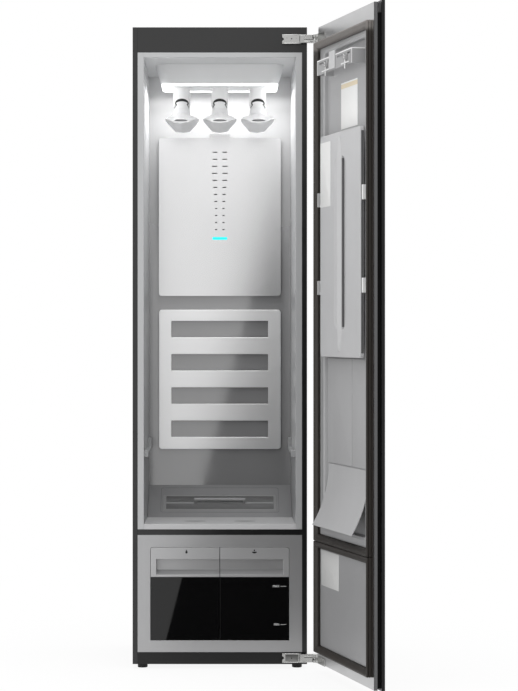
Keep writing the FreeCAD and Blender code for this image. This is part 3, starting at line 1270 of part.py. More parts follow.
def make_press():
    """The press plate: a hollow-backed board with a grip spine, and knuckles on its hinge side."""
    p = (PRESS_FACE - PRESS_T, PRESS_FACE)
    board = leaf((PRESS_FROM, PRESS_TO), p, (PRESS_LOW, PRESS_HIGH))
    board = rounded(board, "y", PRESS_CORNER)
    skin = PRESS_SKIN
    middle = MIDDLE_U
    pockets = []
    grip_out = SPINE_HALF + GRIP_CHANNEL + skin
    for u in ((PRESS_FROM + PRESS_CORNER, middle - grip_out), (middle + grip_out, PRESS_TO - PRESS_CORNER)):
        pockets.append(leaf(u, (p[0] - EASY, p[1] - skin),
                            (PRESS_LOW + PRESS_CORNER, PRESS_HIGH - PRESS_CORNER)))
    for side in (-1, 1):
        u = sorted((middle + side * SPINE_HALF, middle + side * (SPINE_HALF + GRIP_CHANNEL)))
        channel = leaf(u, (p[1] - GRIP_DEEP, p[1] + EASY), (GRIP_LOW, GRIP_HIGH))
        pockets.append(rounded(channel, "y", GRIP_CHANNEL / 2 - EASY,
                               lambda point: abs(DOOR_EDGE_X - point.x - middle) > SPINE_HALF + EASY))
    x = DOOR_EDGE_X - middle
    y = DOOR_FACE + p[1]
    spine = prism(
        [
            Vector(x - SPINE_HALF, y, SPINE_LOW + SPINE_TIP), Vector(x, y, SPINE_LOW),
            Vector(x + SPINE_HALF, y, SPINE_LOW + SPINE_TIP),
            Vector(x + SPINE_HALF, y, SPINE_HIGH - SPINE_TIP),
            Vector(x, y, SPINE_HIGH), Vector(x - SPINE_HALF, y, SPINE_HIGH - SPINE_TIP),
        ],
        Vector(0, SHEET, 0),
    )
    axis = (DOOR_EDGE_X - PRESS_AXIS_U, DOOR_FACE + PRESS_AXIS_P)
    knuckles = []
    for z in CLIP_Z:
        half = CLIP_H / 2 - CLIP_EAR - EASY
        knuckles.append(rod("z", PRESS_KNUCKLE, axis, (z - half, z + half)))
        knuckles.append(rod("z", PRESS_PIN, axis, (z - half - PRESS_PIN_L, z + half + PRESS_PIN_L)))
        knuckles.append(leaf((PRESS_AXIS_U, PRESS_FROM + EASY),
                             (PRESS_AXIS_P - SHEET, PRESS_AXIS_P + SHEET), (z - half, z + half)))
    nodes["press_plate"] = swung(joined([board.cut(pockets), spine] + knuckles))

    clips = []
    reach = PRESS_KNUCKLE
    for z in CLIP_Z:
        for low in (z - CLIP_H / 2, z + CLIP_H / 2 - CLIP_EAR):
            ear = leaf((PRESS_AXIS_U - reach - CLIP_BACK, PRESS_AXIS_U + reach),
                       (RIM_T, PRESS_AXIS_P + reach), (low, low + CLIP_EAR))
            bore = rod("z", PRESS_PIN + RUN, axis, (low - EASY, low + CLIP_EAR + EASY))
            clips.append(swung(ear.cut(bore)))
        clips.append(swung(leaf((LATCH_FROM, LATCH_FROM + LATCH_W), (RIM_T, PRESS_FACE - RIM_T),
                                (z - CLIP_H / 2, z + CLIP_H / 2))))
    nodes["press_clips"] = Part.makeCompound(clips)


def make_trouser_bar():
    """A slotted band that stands off the liner on two end arms, with a block at its middle."""
    p = (BAND_FACE - BAND_T, BAND_FACE)
    z = (BAND_LOW, BAND_HIGH)
    band = leaf((BAND_FROM, BAND_TO), p, z)
    arms = [leaf((u, u + BAND_T), (PAN_FLOOR, BAND_FACE), z) for u in (BAND_FROM, BAND_TO - BAND_T)]
    boss = leaf((MIDDLE_U - BLOCK_HALF, MIDDLE_U + BLOCK_HALF),
                (BAND_FACE - BAND_T, BAND_FACE + BLOCK_PROUD), (BLOCK_LOW, BLOCK_HIGH))
    tracks = [leaf(u, (p[0] - EASY, p[1] + EASY), (TRACK_Z - TRACK_H / 2, TRACK_Z + TRACK_H / 2))
              for u in (TRACK_LEFT, TRACK_RIGHT)]
    nodes["trouser_bar"] = swung(joined([band, boss] + arms).cut(tracks))


def make_trouser_clip(name, u):
    """A carriage that slides in the band's track, and the sprung jaw that turns on its pin."""
    half = TONGUE_HALF
    tongue_z = (TRACK_Z - TRACK_H / 2 + SLIP, TRACK_Z + TRACK_H / 2 - SLIP)
    front = BAND_FACE + SLIP
    outside = half + EAR_T
    pivot = (DOOR_FACE + BAND_FACE + JAW_PIVOT_OUT, JAW_PIVOT_Z)
    x = DOOR_EDGE_X - u
    plate = leaf((u - outside, u + outside), (front, front + SHEET),
                 (JAW_PIVOT_Z - EAR_H / 2, tongue_z[1] + SHEET))
    tongue = leaf((u - half, u + half), (BAND_FACE - BAND_T - SLIP, front), tongue_z)
    behind = BAND_FACE - BAND_T - SLIP
    keeper = leaf((u - outside, u + outside), (behind - CARRIAGE_T, behind),
                  (tongue_z[0] - SHEET, tongue_z[1] + SHEET))
    ears = [leaf(span, (front, BAND_FACE + EAR_OUT), (JAW_PIVOT_Z - EAR_H / 2, JAW_PIVOT_Z + EAR_H / 2))
            for span in ((u - outside, u - half), (u + half, u + outside))]
    pin = rod("x", JAW_PIN, pivot, (x - outside, x + outside))
    nodes[name + "_carriage"] = swung(joined([plate, tongue, keeper, pin] + ears))

    p = (BAND_FACE + JAW_PIVOT_OUT - JAW_T / 2, BAND_FACE + JAW_PIVOT_OUT + JAW_T / 2)
    lever = leaf((u - LEVER_HALF, u + LEVER_HALF), p, (LEVER_LOW, LEVER_HIGH))
    knuckle = rod("x", JAW_PIN + SHEET, pivot, (x - LEVER_HALF, x + LEVER_HALF))
    bar = leaf((u - JAW_HALF, u + JAW_HALF), p, (JAW_Z - JAW_H / 2, JAW_Z + JAW_H / 2))
    bore = rod("x", JAW_PIN + RUN, pivot, (x - outside, x + outside))
    nodes[name + "_jaw"] = swung(joined([lever, knuckle, bar]).cut(bore))


# ---- hinges ----
def make_hinges():
    """Top and bottom hinges: a boxed arm on the body, a pin, and a bracket on the door."""
    arms = []
    pins = []
    brackets = []
    for z in HINGE_Z:
        tall = (z - ARM_H / 2, z + ARM_H / 2)
        case = block((BOX_FROM, BOX_TO), (FRONT - BOX_OUT, FRONT), (z - BOX_H / 2, z + BOX_H / 2))
        notch = prism(
            [
                Vector(BOX_FROM - EASY, FRONT - BOX_OUT - EASY, z - BOX_NOTCH),
                Vector(BOX_FROM + BOX_NOTCH, FRONT - BOX_OUT - EASY, z),
                Vector(BOX_FROM - EASY, FRONT - BOX_OUT - EASY, z + BOX_NOTCH),
            ],
            Vector(0, BOX_OUT + 2 * EASY, 0),
        )
        near = PIVOT_X - KNUCKLE_R
        arm = block((BOX_TO - BOX_NOTCH, near), (FRONT - ARM_FAR, FRONT - ARM_NEAR), tall)
        webs = block((near - BOX_NOTCH, PIVOT_X), (PIVOT_Y, FRONT - ARM_NEAR), tall)
        knuckle = rod("z", KNUCKLE_R, (PIVOT_X, PIVOT_Y), tall)
        slot_half = EYE_H / 2 + EAR_GAP
        slot = block((near - BOX_NOTCH - EASY, PIVOT_X + KNUCKLE_R + EASY),
                     (PIVOT_Y - KNUCKLE_R - EASY, FRONT - ARM_NEAR - BRACKET_T),
                     (z - slot_half, z + slot_half))
        bore = rod("z", HINGE_PIN + RUN, (PIVOT_X, PIVOT_Y), (tall[0] - EASY, tall[1] + EASY))
        arms.append(joined([case.cut(notch), arm, webs, knuckle]).cut([slot, bore]))

        shank = rod("z", HINGE_PIN, (PIVOT_X, PIVOT_Y), (tall[0] - PIN_HEAD_H, tall[1]))
        head = rod("z", PIN_HEAD, (PIVOT_X, PIVOT_Y), (tall[1], tall[1] + PIN_HEAD_H))
        pins.append(joined([shank, head]))

        flange = leaf((0, BRACKET_L), (0, BRACKET_T), (z - BRACKET_H / 2, z + BRACKET_H / 2))
        eye_z = (z - EYE_H / 2, z + EYE_H / 2)
        web = block((DOOR_EDGE_X - BRACKET_T, PIVOT_X), (DOOR_FACE, DOOR_FACE + BRACKET_T), eye_z)
        eye = rod("z", KNUCKLE_R, (PIVOT_X, PIVOT_Y), eye_z)
        brackets.append(swung(joined([flange, web, eye]).cut(bore)))
    nodes["hinge_arms"] = Part.makeCompound(arms)
    nodes["hinge_pins"] = Part.makeCompound(pins)
    nodes["hinge_brackets"] = Part.makeCompound(brackets)


def build():
    make_feet()
    make_base_pan()
    make_side_panels()
    make_top_panel()
    make_rear_panel()
    make_power_inlet()
    make_screws()
    make_divider()
    make_liner_walls()
    make_liner_ceiling()
    make_liner_back()
    make_floor_tray()
    make_intake_housing()
    make_filter()
    make_upper_back_panel()
    make_lower_back_panel()
    make_ceiling_unit()
    make_nozzles()
    make_hangers()
    make_lower_front_panel()
    make_tank_bay()
    make_tank("fresh_tank", -1)
    make_tank("drain_tank", 1)
    make_compressor()
    make_heat_exchanger()
    make_boiler()
    make_feed_pump()
    make_blower()
    make_steam_hose()
    make_control_board()
    make_door_shell()
    make_gaskets()
    make_door_liners()
    make_drip_guide()
    make_press()
    make_trouser_bar()
    make_trouser_clip("left_clip", CLIP_U[0])
    make_trouser_clip("right_clip", CLIP_U[1])
    make_hinges()


build()
os.makedirs("parts", exist_ok=True)
for name, shape in nodes.items():
    shape.exportStep("parts/" + name + ".step")
    print(name, len(shape.Solids), "solid(s)", round(shape.Volume / 1000, 1), "cm3", shape.isValid())
print(len(nodes), "nodes")
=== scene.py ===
"""Clothes care steam cabinet: the finishes and the shaped pieces, built on the fixed frame.

+X is to the right seen from the front, +Y goes back into the cabinet and +Z is up. Shapes are worked
out in millimetres, and become metres when their mesh is made. Door pieces are worked out on the shut
door, as u (from its hinge edge), p (out of its inner face) and z, and are then turned to the place
where the frame holds the door.
"""

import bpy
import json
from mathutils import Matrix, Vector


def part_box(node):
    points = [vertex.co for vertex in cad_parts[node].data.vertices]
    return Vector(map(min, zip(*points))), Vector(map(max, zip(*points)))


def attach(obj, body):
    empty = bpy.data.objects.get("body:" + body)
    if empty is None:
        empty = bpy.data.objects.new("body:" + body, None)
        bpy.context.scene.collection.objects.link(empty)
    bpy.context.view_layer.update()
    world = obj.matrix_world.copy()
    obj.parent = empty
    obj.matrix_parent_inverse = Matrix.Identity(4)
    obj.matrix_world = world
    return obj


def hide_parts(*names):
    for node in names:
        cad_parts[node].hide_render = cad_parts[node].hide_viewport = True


bl_info = {
    "name": "Steam Cabinet",
    "version": (1, 0, 0),
    "blender": (4, 5, 0),
    "location": "View3D > Sidebar > Steam Cabinet",
    "description": "Shapes and finishes a clothes care steam cabinet",
    "category": "Object",
}

import json
import math

import bmesh
import bpy
import numpy as np
from mathutils import Vector

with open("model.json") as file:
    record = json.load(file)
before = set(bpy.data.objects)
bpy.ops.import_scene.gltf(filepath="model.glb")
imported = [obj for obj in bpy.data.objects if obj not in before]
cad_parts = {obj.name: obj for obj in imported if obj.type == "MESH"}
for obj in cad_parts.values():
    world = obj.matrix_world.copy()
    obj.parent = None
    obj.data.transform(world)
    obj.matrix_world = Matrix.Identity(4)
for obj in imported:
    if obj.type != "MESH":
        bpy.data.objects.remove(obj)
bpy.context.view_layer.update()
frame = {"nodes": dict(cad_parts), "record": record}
MM = 0.001
BODY_OF = {node: body for body, nodes in frame["record"]["behaviour"]["bodies"].items() for node in nodes}
SLOT_OF = {entry["node"]: entry["material_slot"] for entry in frame["record"]["subparts"]}
SWING = next(joint for joint in frame["record"]["behaviour"]["joints"] if joint["name"] == "door_swing")
PIVOT = np.array(SWING["pos_m"]) / MM
OPEN = math.radians(-SWING["range_deg"][0])
DOOR_EDGE = 297.5       # hinge edge of the shut door
DOOR_FACE = -302.0      # inner face of the shut door
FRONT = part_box("lower_front_panel")[0][1] / MM
UP = (0, 0, 1)
FORWARD = (0, -1, 0)


# ---- places ----
def upright(x, y, z):
    """Points from x, y and z as they are."""
    return np.stack(np.broadcast_arrays(x, y, z), -1)


def turned(points, angle):
    """Points turned about the hinge pins by an angle: the usual rotation of x and y."""
    x = points[..., 0] - PIVOT[0]
    y = points[..., 1] - PIVOT[1]
    c = math.cos(angle)
    s = math.sin(angle)
    return upright(PIVOT[0] + x * c - y * s, PIVOT[1] + x * s + y * c, points[..., 2])


def on_door(u, p, z):
    """Points of the open door from u, p and z: laid on the shut door, then swung open."""
    return turned(upright(DOOR_EDGE - u, DOOR_FACE + p, z), OPEN)


def on_front(x, out, z):
    """Points from x, the distance out of the front plane, and z."""
    return upright(x, FRONT - out, z)


def corners(mesh):
    """The vertices of a mesh, in metres."""
    points = np.empty(len(mesh.vertices) * 3)
    mesh.vertices.foreach_get("co", points)
    return points.reshape(-1, 3)


def door_span(node):
    """Lowest and highest u, p and z of a door node, read from the frame."""
    shut = turned(corners(frame["nodes"][node].data) / MM, -OPEN)
    local = upright(DOOR_EDGE - shut[:, 0], shut[:, 1] - DOOR_FACE, shut[:, 2])
    return local.min(0), local.max(0)


def span(node):
    """Lowest corner, highest corner and middle of a node."""
    low, high = (np.array(corner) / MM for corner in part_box(node))
    return low, high, (low + high) / 2


# ---- surfaces ----
def full_turn(count):
    """Angles once round."""
    return np.linspace(0, 2 * math.pi, count, endpoint=False)


def skin(points, wrap_rows=False, wrap_columns=True, caps=False):
    """A surface from a grid of points, as (points, faces): each cell of four neighbours is one face."""
    rows, columns = points.shape[:2]
    index = np.arange(rows * columns).reshape(rows, columns)
    ends = [index[0, ::-1].tolist(), index[-1].tolist()] if caps else []
    if wrap_rows:
        index = np.vstack([index, index[:1]])
    if wrap_columns:
        index = np.hstack([index, index[:, :1]])
    faces = np.stack([index[:-1, :-1], index[1:, :-1], index[1:, 1:], index[:-1, 1:]], -1)
    return points.reshape(-1, 3), faces.reshape(-1, 4).tolist() + ends


def loft(rings):
    """A closed form from a stack of loops with the same number of points."""
    return skin(np.array(rings), caps=True)


def band(rings):
    """A closed ring of loops, the last joined to the first."""
    return skin(np.array(rings), wrap_rows=True)


def rounded_loop(half_a, half_b, corner, per=7):
    """A rounded rectangle: four quarter circles of the corner's radius, joined by straight sides."""
    turn = np.concatenate([np.linspace(0, math.pi / 2, per) + k * math.pi / 2 for k in range(4)])
    side_a = np.repeat([1, -1, -1, 1], per)
    side_b = np.repeat([1, 1, -1, -1], per)
    return (side_a * (half_a - corner) + corner * np.cos(turn),
            side_b * (half_b - corner) + corner * np.sin(turn))


def slab(place, middle, half, depth, corner, edge, per=5):
    """A rounded rectangle with a thickness, whose face edges are quarter circles of radius edge.

    place turns (a, c, b) into points; middle and half are (a, b); depth is the range of c.
    """
    turn = np.linspace(0, math.pi / 2, per)
    inset = np.concatenate([edge * (1 - np.sin(turn)), edge * (1 - np.cos(turn))])
    level = np.concatenate([depth[0] + edge * (1 - np.cos(turn)), depth[1] - edge * (1 - np.sin(turn))])
    rings = []
    for step, c in zip(inset, level):
        a, b = rounded_loop(half[0] - step, half[1] - step, max(corner - step, edge / 2))
        rings.append(place(middle[0] + a, c, middle[1] + b))
    return loft(rings)


def lathe(profile, x, y, hollow=False):
    """A profile of radius and height turned once round an upright axis, closed on itself where hollow."""
    turn = full_turn(48)
    radius, height = np.hsplit(np.array(profile, float), 2)
    points = upright(x + radius * np.cos(turn), y + radius * np.sin(turn), height)
    return skin(points, wrap_rows=hollow, caps=not hollow)


def placed(name, data):
    """A new object of the scene."""
    made = bpy.data.objects.new(name, data)
    bpy.context.scene.collection.objects.link(made)
    return made


def solid(name, surfaces, angle=35.0):
    """An object of closed surfaces in millimetres: doubles merged, faces turned outwards, and edges under
    an angle shaded smooth."""
    faces = []
    start = 0
    for points, cells in surfaces:
        faces += [[start + corner for corner in face] for face in cells]
        start += len(points)
    points = np.concatenate([surface[0] for surface in surfaces]) * MM
    mesh = bpy.data.meshes.new(name)
    mesh.from_pydata(points.tolist(), [], faces)
    work = bmesh.new()
    work.from_mesh(mesh)
    bmesh.ops.remove_doubles(work, verts=work.verts, dist=1e-6)
    bmesh.ops.recalc_face_normals(work, faces=work.faces)
    work.to_mesh(mesh)
    work.free()
    mesh.shade_smooth()
    mesh.set_sharp_from_angle(angle=math.radians(angle))
    return placed(name, mesh)


def settle(made, body, slot, material=None, stands_for=()):
    """Puts a finished piece on its body, with the finish of its slot or the one given, in place of the nodes
    it stands for.
    """
    made.data.materials.clear()
    made.data.materials.append(material or slot_finish(slot))
    if stands_for:
        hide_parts(*stands_for)
    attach(made, body)
    return made


def added(name, surfaces, body, slot, material=None):
    """A piece of surfaces beside the frame's nodes."""
    return settle(solid(name, surfaces), body, slot, material)


def dressed(node, surfaces, material=None, angle=35.0):
    """A piece of surfaces that stands for one node and takes over its body and finish."""
    made = solid(node + "_shape", surfaces, angle)
    return settle(made, BODY_OF[node], SLOT_OF[node], material, (node,))


def softened(node, edge, material=None, flat=False):
    """A node's own shape with rounded edges: its triangles merged, flat faces joined, then a bevel.

    edge names the size setting that gives its width. With flat, faces of 4 square centimetres and more
    keep their own flat shading.
    """
    mesh = frame["nodes"][node].data.copy()
    mesh.name = node + "_shape"
    work = bmesh.new()
    work.from_mesh(mesh)
    bmesh.ops.remove_doubles(work, verts=work.verts, dist=2e-6)
    bmesh.ops.dissolve_limit(work, angle_limit=math.radians(0.5), verts=work.verts, edges=work.edges)
    work.to_mesh(mesh)
    work.free()
    area = np.empty(len(mesh.polygons))
    mesh.polygons.foreach_get("area", area)
    mesh.polygons.foreach_set("use_smooth", (area < 4e-4) | (not flat))
    made = placed(node + "_shape", mesh)
    bevel = made.modifiers.new("Edges", "BEVEL")
    bevel.width = getattr(bpy.context.scene.cabinet_sizes, edge)
    bevel.segments = 2
    bevel.limit_method = "ANGLE"
    bevel.angle_limit = math.radians(28.0)
    bevel.use_clamp_overlap = False
    weighted = made.modifiers.new("Flat faces", "WEIGHTED_NORMAL")
    weighted.weight = 100
    weighted.keep_sharp = True
    return settle(made, BODY_OF[node], SLOT_OF[node], material, (node,))


# ---- settings ----
def length(name, text, default):
    """A length, in metres."""
    return bpy.props.FloatProperty(name=name, description=text, default=default, min=0.0, unit="LENGTH")


def color(name, text, default):
    """A colour, in linear values."""
    return bpy.props.FloatVectorProperty(name=name, description=text, default=default, subtype="COLOR")


def strength(name, text, default):
    """A strength or power of 0 or more."""
    return bpy.props.FloatProperty(name=name, description=text, default=default, min=0.0)


class CabinetSizes(bpy.types.PropertyGroup):
    sheet_edge: length("Sheet edge", "Rounding of folded sheet", 0.0005)
    moulded_edge: length("Moulded edge", "Rounding of moulded plastic", 0.0008)
    soft_edge: length("Soft edge", "Rounding of the lower back panel and the lower door liner", 0.0012)
    groove: length("Gasket groove", "Depth of the grooves round the gaskets", 0.003)
    wing_droop: length("Wing droop", "How far a hanger's edges hang below its ridge", 0.010)


class CabinetFinishes(bpy.types.PropertyGroup):
    body: color("Body", "Painted steel body", (0.0065, 0.0065, 0.0067))
    liner: color("Liner", "Moulded lining of the cavity", (0.46, 0.465, 0.47))
    panels: color("Panels", "Silver panels in the cavity", (0.78, 0.78, 0.785))
    door_liner: color("Door liner", "Moulded lining of the door", (0.40, 0.40, 0.405))
    gasket: color("Gasket", "Door gaskets", (0.036, 0.031, 0.027))
    lamp: strength("Ceiling light", "Strength of the lit frame under the ceiling", 2.2)


class CabinetStage(bpy.types.PropertyGroup):
    sky: strength("Sky", "Strength of the even light from all round", 1.0)
    top: strength("Top lamp", "Power of the lamp overhead, in watts", 60.0)
    cavity: strength("Cavity lamp", "Power of the light that the lit frame throws down, in watts", 4.1)


# ---- shared effects ----
def add(tree, kind, values=None, **settings):
    """A shader node with its settings, and with plain values on its inputs, by name or number."""
    made = tree.nodes.new("ShaderNode" + kind)
    for name, value in settings.items():
        setattr(made, name, value)
    for key, value in (values or {}).items():
        made.inputs[key].default_value = value
    return made


def wire(tree, *pairs):
    """Links between outputs and inputs."""
    for source, target in pairs:
        tree.links.new(source, target)


def new_group(name, given, results):
    """A node group, and its own inputs and outputs. given holds names and values, and results names."""
    tree = bpy.data.node_groups.new(name, "ShaderNodeTree")
    for label, value in given:
        kind = "NodeSocketVector" if isinstance(value, tuple) else "NodeSocketFloat"
        tree.interface.new_socket(name=label, in_out="INPUT", socket_type=kind).default_value = value
    for label in results:
        tree.interface.new_socket(name=label, in_out="OUTPUT", socket_type="NodeSocketFloat")
    return tree, tree.nodes.new("NodeGroupInput").outputs, tree.nodes.new("NodeGroupOutput").inputs


def grain_group():
    """Surface grain: a fine noise for the skin and a slow one for its drift, both on Object coordinates."""
    made = bpy.data.node_groups.get("Surface grain")
    if made:
        return made
    given = (("Scale", 600.0), ("Drift scale", 3.0), ("Stretch", (1.0, 1.0, 1.0)))
    tree, given, result = new_group("Surface grain", given, ("Height", "Drift"))
    place = add(tree, "TexCoord").outputs["Object"]
    stretch = add(tree, "VectorMath", operation="MULTIPLY")
    fine = add(tree, "TexNoise", {"Detail": 3.0})
    slow = add(tree, "TexNoise", {"Detail": 2.0})
    wire(tree, (place, stretch.inputs[0]), (given["Stretch"], stretch.inputs[1]),
         (stretch.outputs[0], fine.inputs["Vector"]), (given["Scale"], fine.inputs["Scale"]),
         (place, slow.inputs["Vector"]), (given["Drift scale"], slow.inputs["Scale"]),
         (fine.outputs["Fac"], result["Height"]), (slow.outputs["Fac"], result["Drift"]))
    return tree


def handling_group():
    """Handling marks: a soft cloud of finger smears and dust that only dulls the gloss. Gives a mask."""
    made = bpy.data.node_groups.get("Handling marks")
    if made:
        return made
    tree, given, result = new_group("Handling marks", (("Scale", 14.0), ("Cover", 0.35)), ("Mask",))
    place = add(tree, "TexCoord").outputs["Object"]
    cloud = add(tree, "TexNoise", {"Detail": 6.0, "Roughness": 0.62})
    cut = add(tree, "MapRange", interpolation_type="SMOOTHSTEP")
    upper = add(tree, "Math", {1: 0.35}, operation="ADD")
    wire(tree, (place, cloud.inputs["Vector"]), (given["Scale"], cloud.inputs["Scale"]),
         (cloud.outputs["Fac"], cut.inputs["Value"]), (given["Cover"], cut.inputs["From Min"]),
         (given["Cover"], upper.inputs[0]), (upper.outputs[0], cut.inputs["From Max"]),
         (cut.outputs["Result"], result["Mask"]))
    return tree


def opaque(shade, factor=1.0):
    """A colour times a factor, at most white, with full alpha."""
    return tuple(min(1.0, c * factor) for c in shade) + (1.0,)


def plain_material(name, values):
    """A material whose shader has the given plain values."""
    material = bpy.data.materials.new(name)
    material.use_nodes = True
    for key, value in values.items():
        material.node_tree.nodes["Principled BSDF"].inputs[key].default_value = value
    return material


def finish(name, shade, rough, metal=0.0, grain=600.0, depth=0.02, drift=0.05, spread=0.06,
           stretch=(1.0, 1.0, 1.0), specular=0.5, glow=None, power=0.0, ior=1.45, marks=0.05):
    """A finish: colour that drifts slowly, roughness broken by grain and handling marks, and a fine bump.

    depth is the bump's, in millimetres.
    """
    material = bpy.data.materials.get(name)
    if material:
        return material
    material = plain_material(name, {"Metallic": metal, "IOR": ior, "Specular IOR Level": specular})
    tree = material.node_tree
    shader = tree.nodes["Principled BSDF"].inputs
    relief = add(tree, "Group", {"Scale": grain, "Stretch": stretch}, node_tree=grain_group()).outputs
    smears = add(tree, "Group", node_tree=handling_group())
    mixed = add(tree, "Mix", {"A": opaque(shade, 1 - drift), "B": opaque(shade, 1 + drift)}, data_type="RGBA")
    even = add(tree, "MapRange", {"To Min": max(0.0, rough - spread), "To Max": min(1.0, rough + spread)})
    dulled = add(tree, "Math", {1: marks}, operation="MULTIPLY_ADD")
    bump = add(tree, "Bump", {"Distance": depth * MM, "Strength": 1.0})
    wire(tree, (relief["Drift"], mixed.inputs["Factor"]), (mixed.outputs["Result"], shader["Base Color"]),
         (relief["Height"], even.inputs["Value"]), (smears.outputs["Mask"], dulled.inputs[0]),
         (even.outputs["Result"], dulled.inputs[2]), (dulled.outputs[0], shader["Roughness"]),
         (relief["Height"], bump.inputs["Height"]), (bump.outputs["Normal"], shader["Normal"]))
    if glow:
        lit = add(tree, "Mix", {"A": opaque(glow, 0.97), "B": opaque(glow)}, data_type="RGBA")
        wire(tree, (relief["Drift"], lit.inputs["Factor"]), (lit.outputs["Result"], shader["Emission Color"]))
        shader["Emission Strength"].default_value = power
    return material


def ramp(tree, along, start, end):
    """A value that rises smoothly from 0 to 1 between two distances, in millimetres, along a direction."""
    reach = add(tree, "VectorMath", {1: along}, operation="DOT_PRODUCT")
    cut = add(tree, "MapRange", {"From Min": start * MM, "From Max": end * MM},
              interpolation_type="SMOOTHSTEP")
    wire(tree, (add(tree, "TexCoord").outputs["Object"], reach.inputs[0]),
         (reach.outputs["Value"], cut.inputs["Value"]))
    return cut.outputs["Result"]


def tinted(material, along, start, end, shade):
    """A finish whose colour turns into a second one between two distances along a direction."""
    tree = material.node_tree
    base = tree.nodes["Principled BSDF"].inputs["Base Color"]
    mix = add(tree, "Mix", {"B": opaque(shade)}, data_type="RGBA")
    wire(tree, (base.links[0].from_socket, mix.inputs["A"]),
         (ramp(tree, along, start, end), mix.inputs["Factor"]), (mix.outputs["Result"], base))
    return material


def hazed(material, along, start, end, amount):
    """A finish that grows duller by an amount between two distances along a direction."""
    tree = material.node_tree
    rough = tree.nodes["Principled BSDF"].inputs["Roughness"]
    more = add(tree, "Math", {1: amount}, operation="MULTIPLY_ADD")
    wire(tree, (ramp(tree, along, start, end), more.inputs[0]), (rough.links[0].from_socket, more.inputs[2]),
         (more.outputs[0], rough))
    return material


def brushed(metal, along):
    """Options of a brushed or rolled metal: grain drawn out along one axis (0, 1 or 2)."""
    stretch = tuple(0.02 if axis == along else 1.0 for axis in range(3))
    return dict(metal=metal, grain=1500.0, depth=0.012, spread=0.05, stretch=stretch, marks=0.04)


# each slot's finish: name, colour (or the name of a colour setting and a factor), roughness and options
SLOTS = {
    "dark_steel": ("Body paint", ("body", 1), 0.32, dict(grain=900, specular=0.75)),
    "rear_steel": ("Galvanised steel", (0.42, 0.43, 0.44), 0.45,
                   dict(metal=1, grain=60, drift=0.15, spread=0.14)),
    "bright_steel": ("Zinc plate", (0.50, 0.50, 0.49), 0.26,
                     dict(metal=1, grain=300, drift=0.1, depth=0.004)),
    "foot_black": ("Foot rubber", (0.012, 0.012, 0.012), 0.6, dict(grain=1200, depth=0.08)),
    "black_plastic": ("Black plastic", (0.015, 0.015, 0.016), 0.5, dict(grain=1000, depth=0.04)),
    "liner_grey": ("Liner plastic", ("liner", 1), 0.34, dict(metal=0.3, grain=500, depth=0.012)),
    "back_wall_gloss": ("Back wall gloss", (0.21, 0.21, 0.213), 0.08,
                        dict(spread=0.02, depth=0.002, ior=2.2, marks=0.03)),
    "silver_panel": ("Silver panel", ("panels", 1), 0.24,
                     dict(metal=0.9, grain=1400, depth=0.006, spread=0.02, marks=0)),
    "filter_grey": ("Filter plastic", (0.085, 0.085, 0.088), 0.42, dict(grain=900, depth=0.04)),
    "led_cyan": ("Light bar", (0.0, 0.6, 0.65), 0.3, dict(glow=(0.012, 0.87, 0.91), power=1.0)),
    "ceiling_light": ("Lit diffuser", (0.9, 0.9, 0.9), 0.3, dict(glow=(1.0, 1.0, 1.0), power="lamp")),
    "white_plastic": ("White plastic", (0.90, 0.90, 0.90), 0.35, dict(grain=500)),
    "hanger_white": ("Hanger plastic", (0.89, 0.89, 0.895), 0.4, dict(grain=500)),
    "clip_white": ("Clip plastic", (0.82, 0.82, 0.82), 0.4, dict(grain=700)),
    "seal_rubber": ("Seal rubber", (0.012, 0.012, 0.012), 0.5, dict(grain=1500, depth=0.04)),
    "lower_panel_grey": ("Lower panel", (0.43, 0.43, 0.435), 0.33, brushed(0.6, 2)),
    "tank_cover_grey": ("Tank cover", (0.46, 0.46, 0.465), 0.33, dict(metal=0.5, grain=1300, depth=0.01)),
    "smoked_tank": ("Smoked tank", (0.0035, 0.0035, 0.0037), 0.03,
                    dict(spread=0.01, depth=0.0015, marks=0.02)),
    "machine_black": ("Machine enamel", (0.02, 0.02, 0.02), 0.3, dict(grain=200, depth=0.08)),
    "machine_plastic": ("Machine plastic", (0.2, 0.2, 0.21), 0.45, dict(grain=800, depth=0.05)),
    "coil_aluminium": ("Fin aluminium", (0.7, 0.71, 0.72), 0.3, brushed(1.0, 1)),
    "boiler_aluminium": ("Cast aluminium", (0.6, 0.6, 0.6), 0.45, dict(metal=1, grain=250, depth=0.1)),
    "hose_rubber": ("Hose silicone", (0.5, 0.5, 0.48), 0.5, dict(grain=900)),
    "board_green": ("Circuit board", (0.03, 0.2, 0.08), 0.4, dict(grain=300, drift=0.2)),
    "door_plate_grey": ("Door plate", (0.52, 0.52, 0.525), 0.32, brushed(0.9, 2)),
    "channel_black": ("Channel black", (0.006, 0.006, 0.006), 0.45, dict(grain=900)),
    "door_dark_steel": ("Door steel", (0.030, 0.030, 0.031), 0.36, brushed(0.3, 2)),
    "gasket_taupe": ("Gasket rubber", ("gasket", 1), 0.48, dict(grain=1100, depth=0.03)),
    "door_liner_grey": ("Door liner", ("door_liner", 1), 0.36, dict(grain=500, depth=0.015)),
    "guide_grey": ("Guide plastic", ("door_liner", 1.12), 0.38, dict(depth=0.015)),
    "press_grey": ("Press plastic", ("door_liner", 1.3), 0.36, dict(grain=700, depth=0.015)),
    "holder_grey": ("Holder plastic", ("door_liner", 0.9), 0.32, dict(grain=700)),
}


def chosen(name, factor=1):
    """A colour setting times a factor."""
    return tuple(c * factor for c in getattr(bpy.context.scene.cabinet_finishes, name))


def slot_finish(slot):
    """The finish of one of the record's slots."""
    name, shade, rough, options = SLOTS[slot]
    if isinstance(shade[0], str):
        shade = chosen(*shade)
    if options.get("power") == "lamp":
        options = dict(options, power=bpy.context.scene.cabinet_finishes.lamp)
    return finish(name, shade, rough, **options)


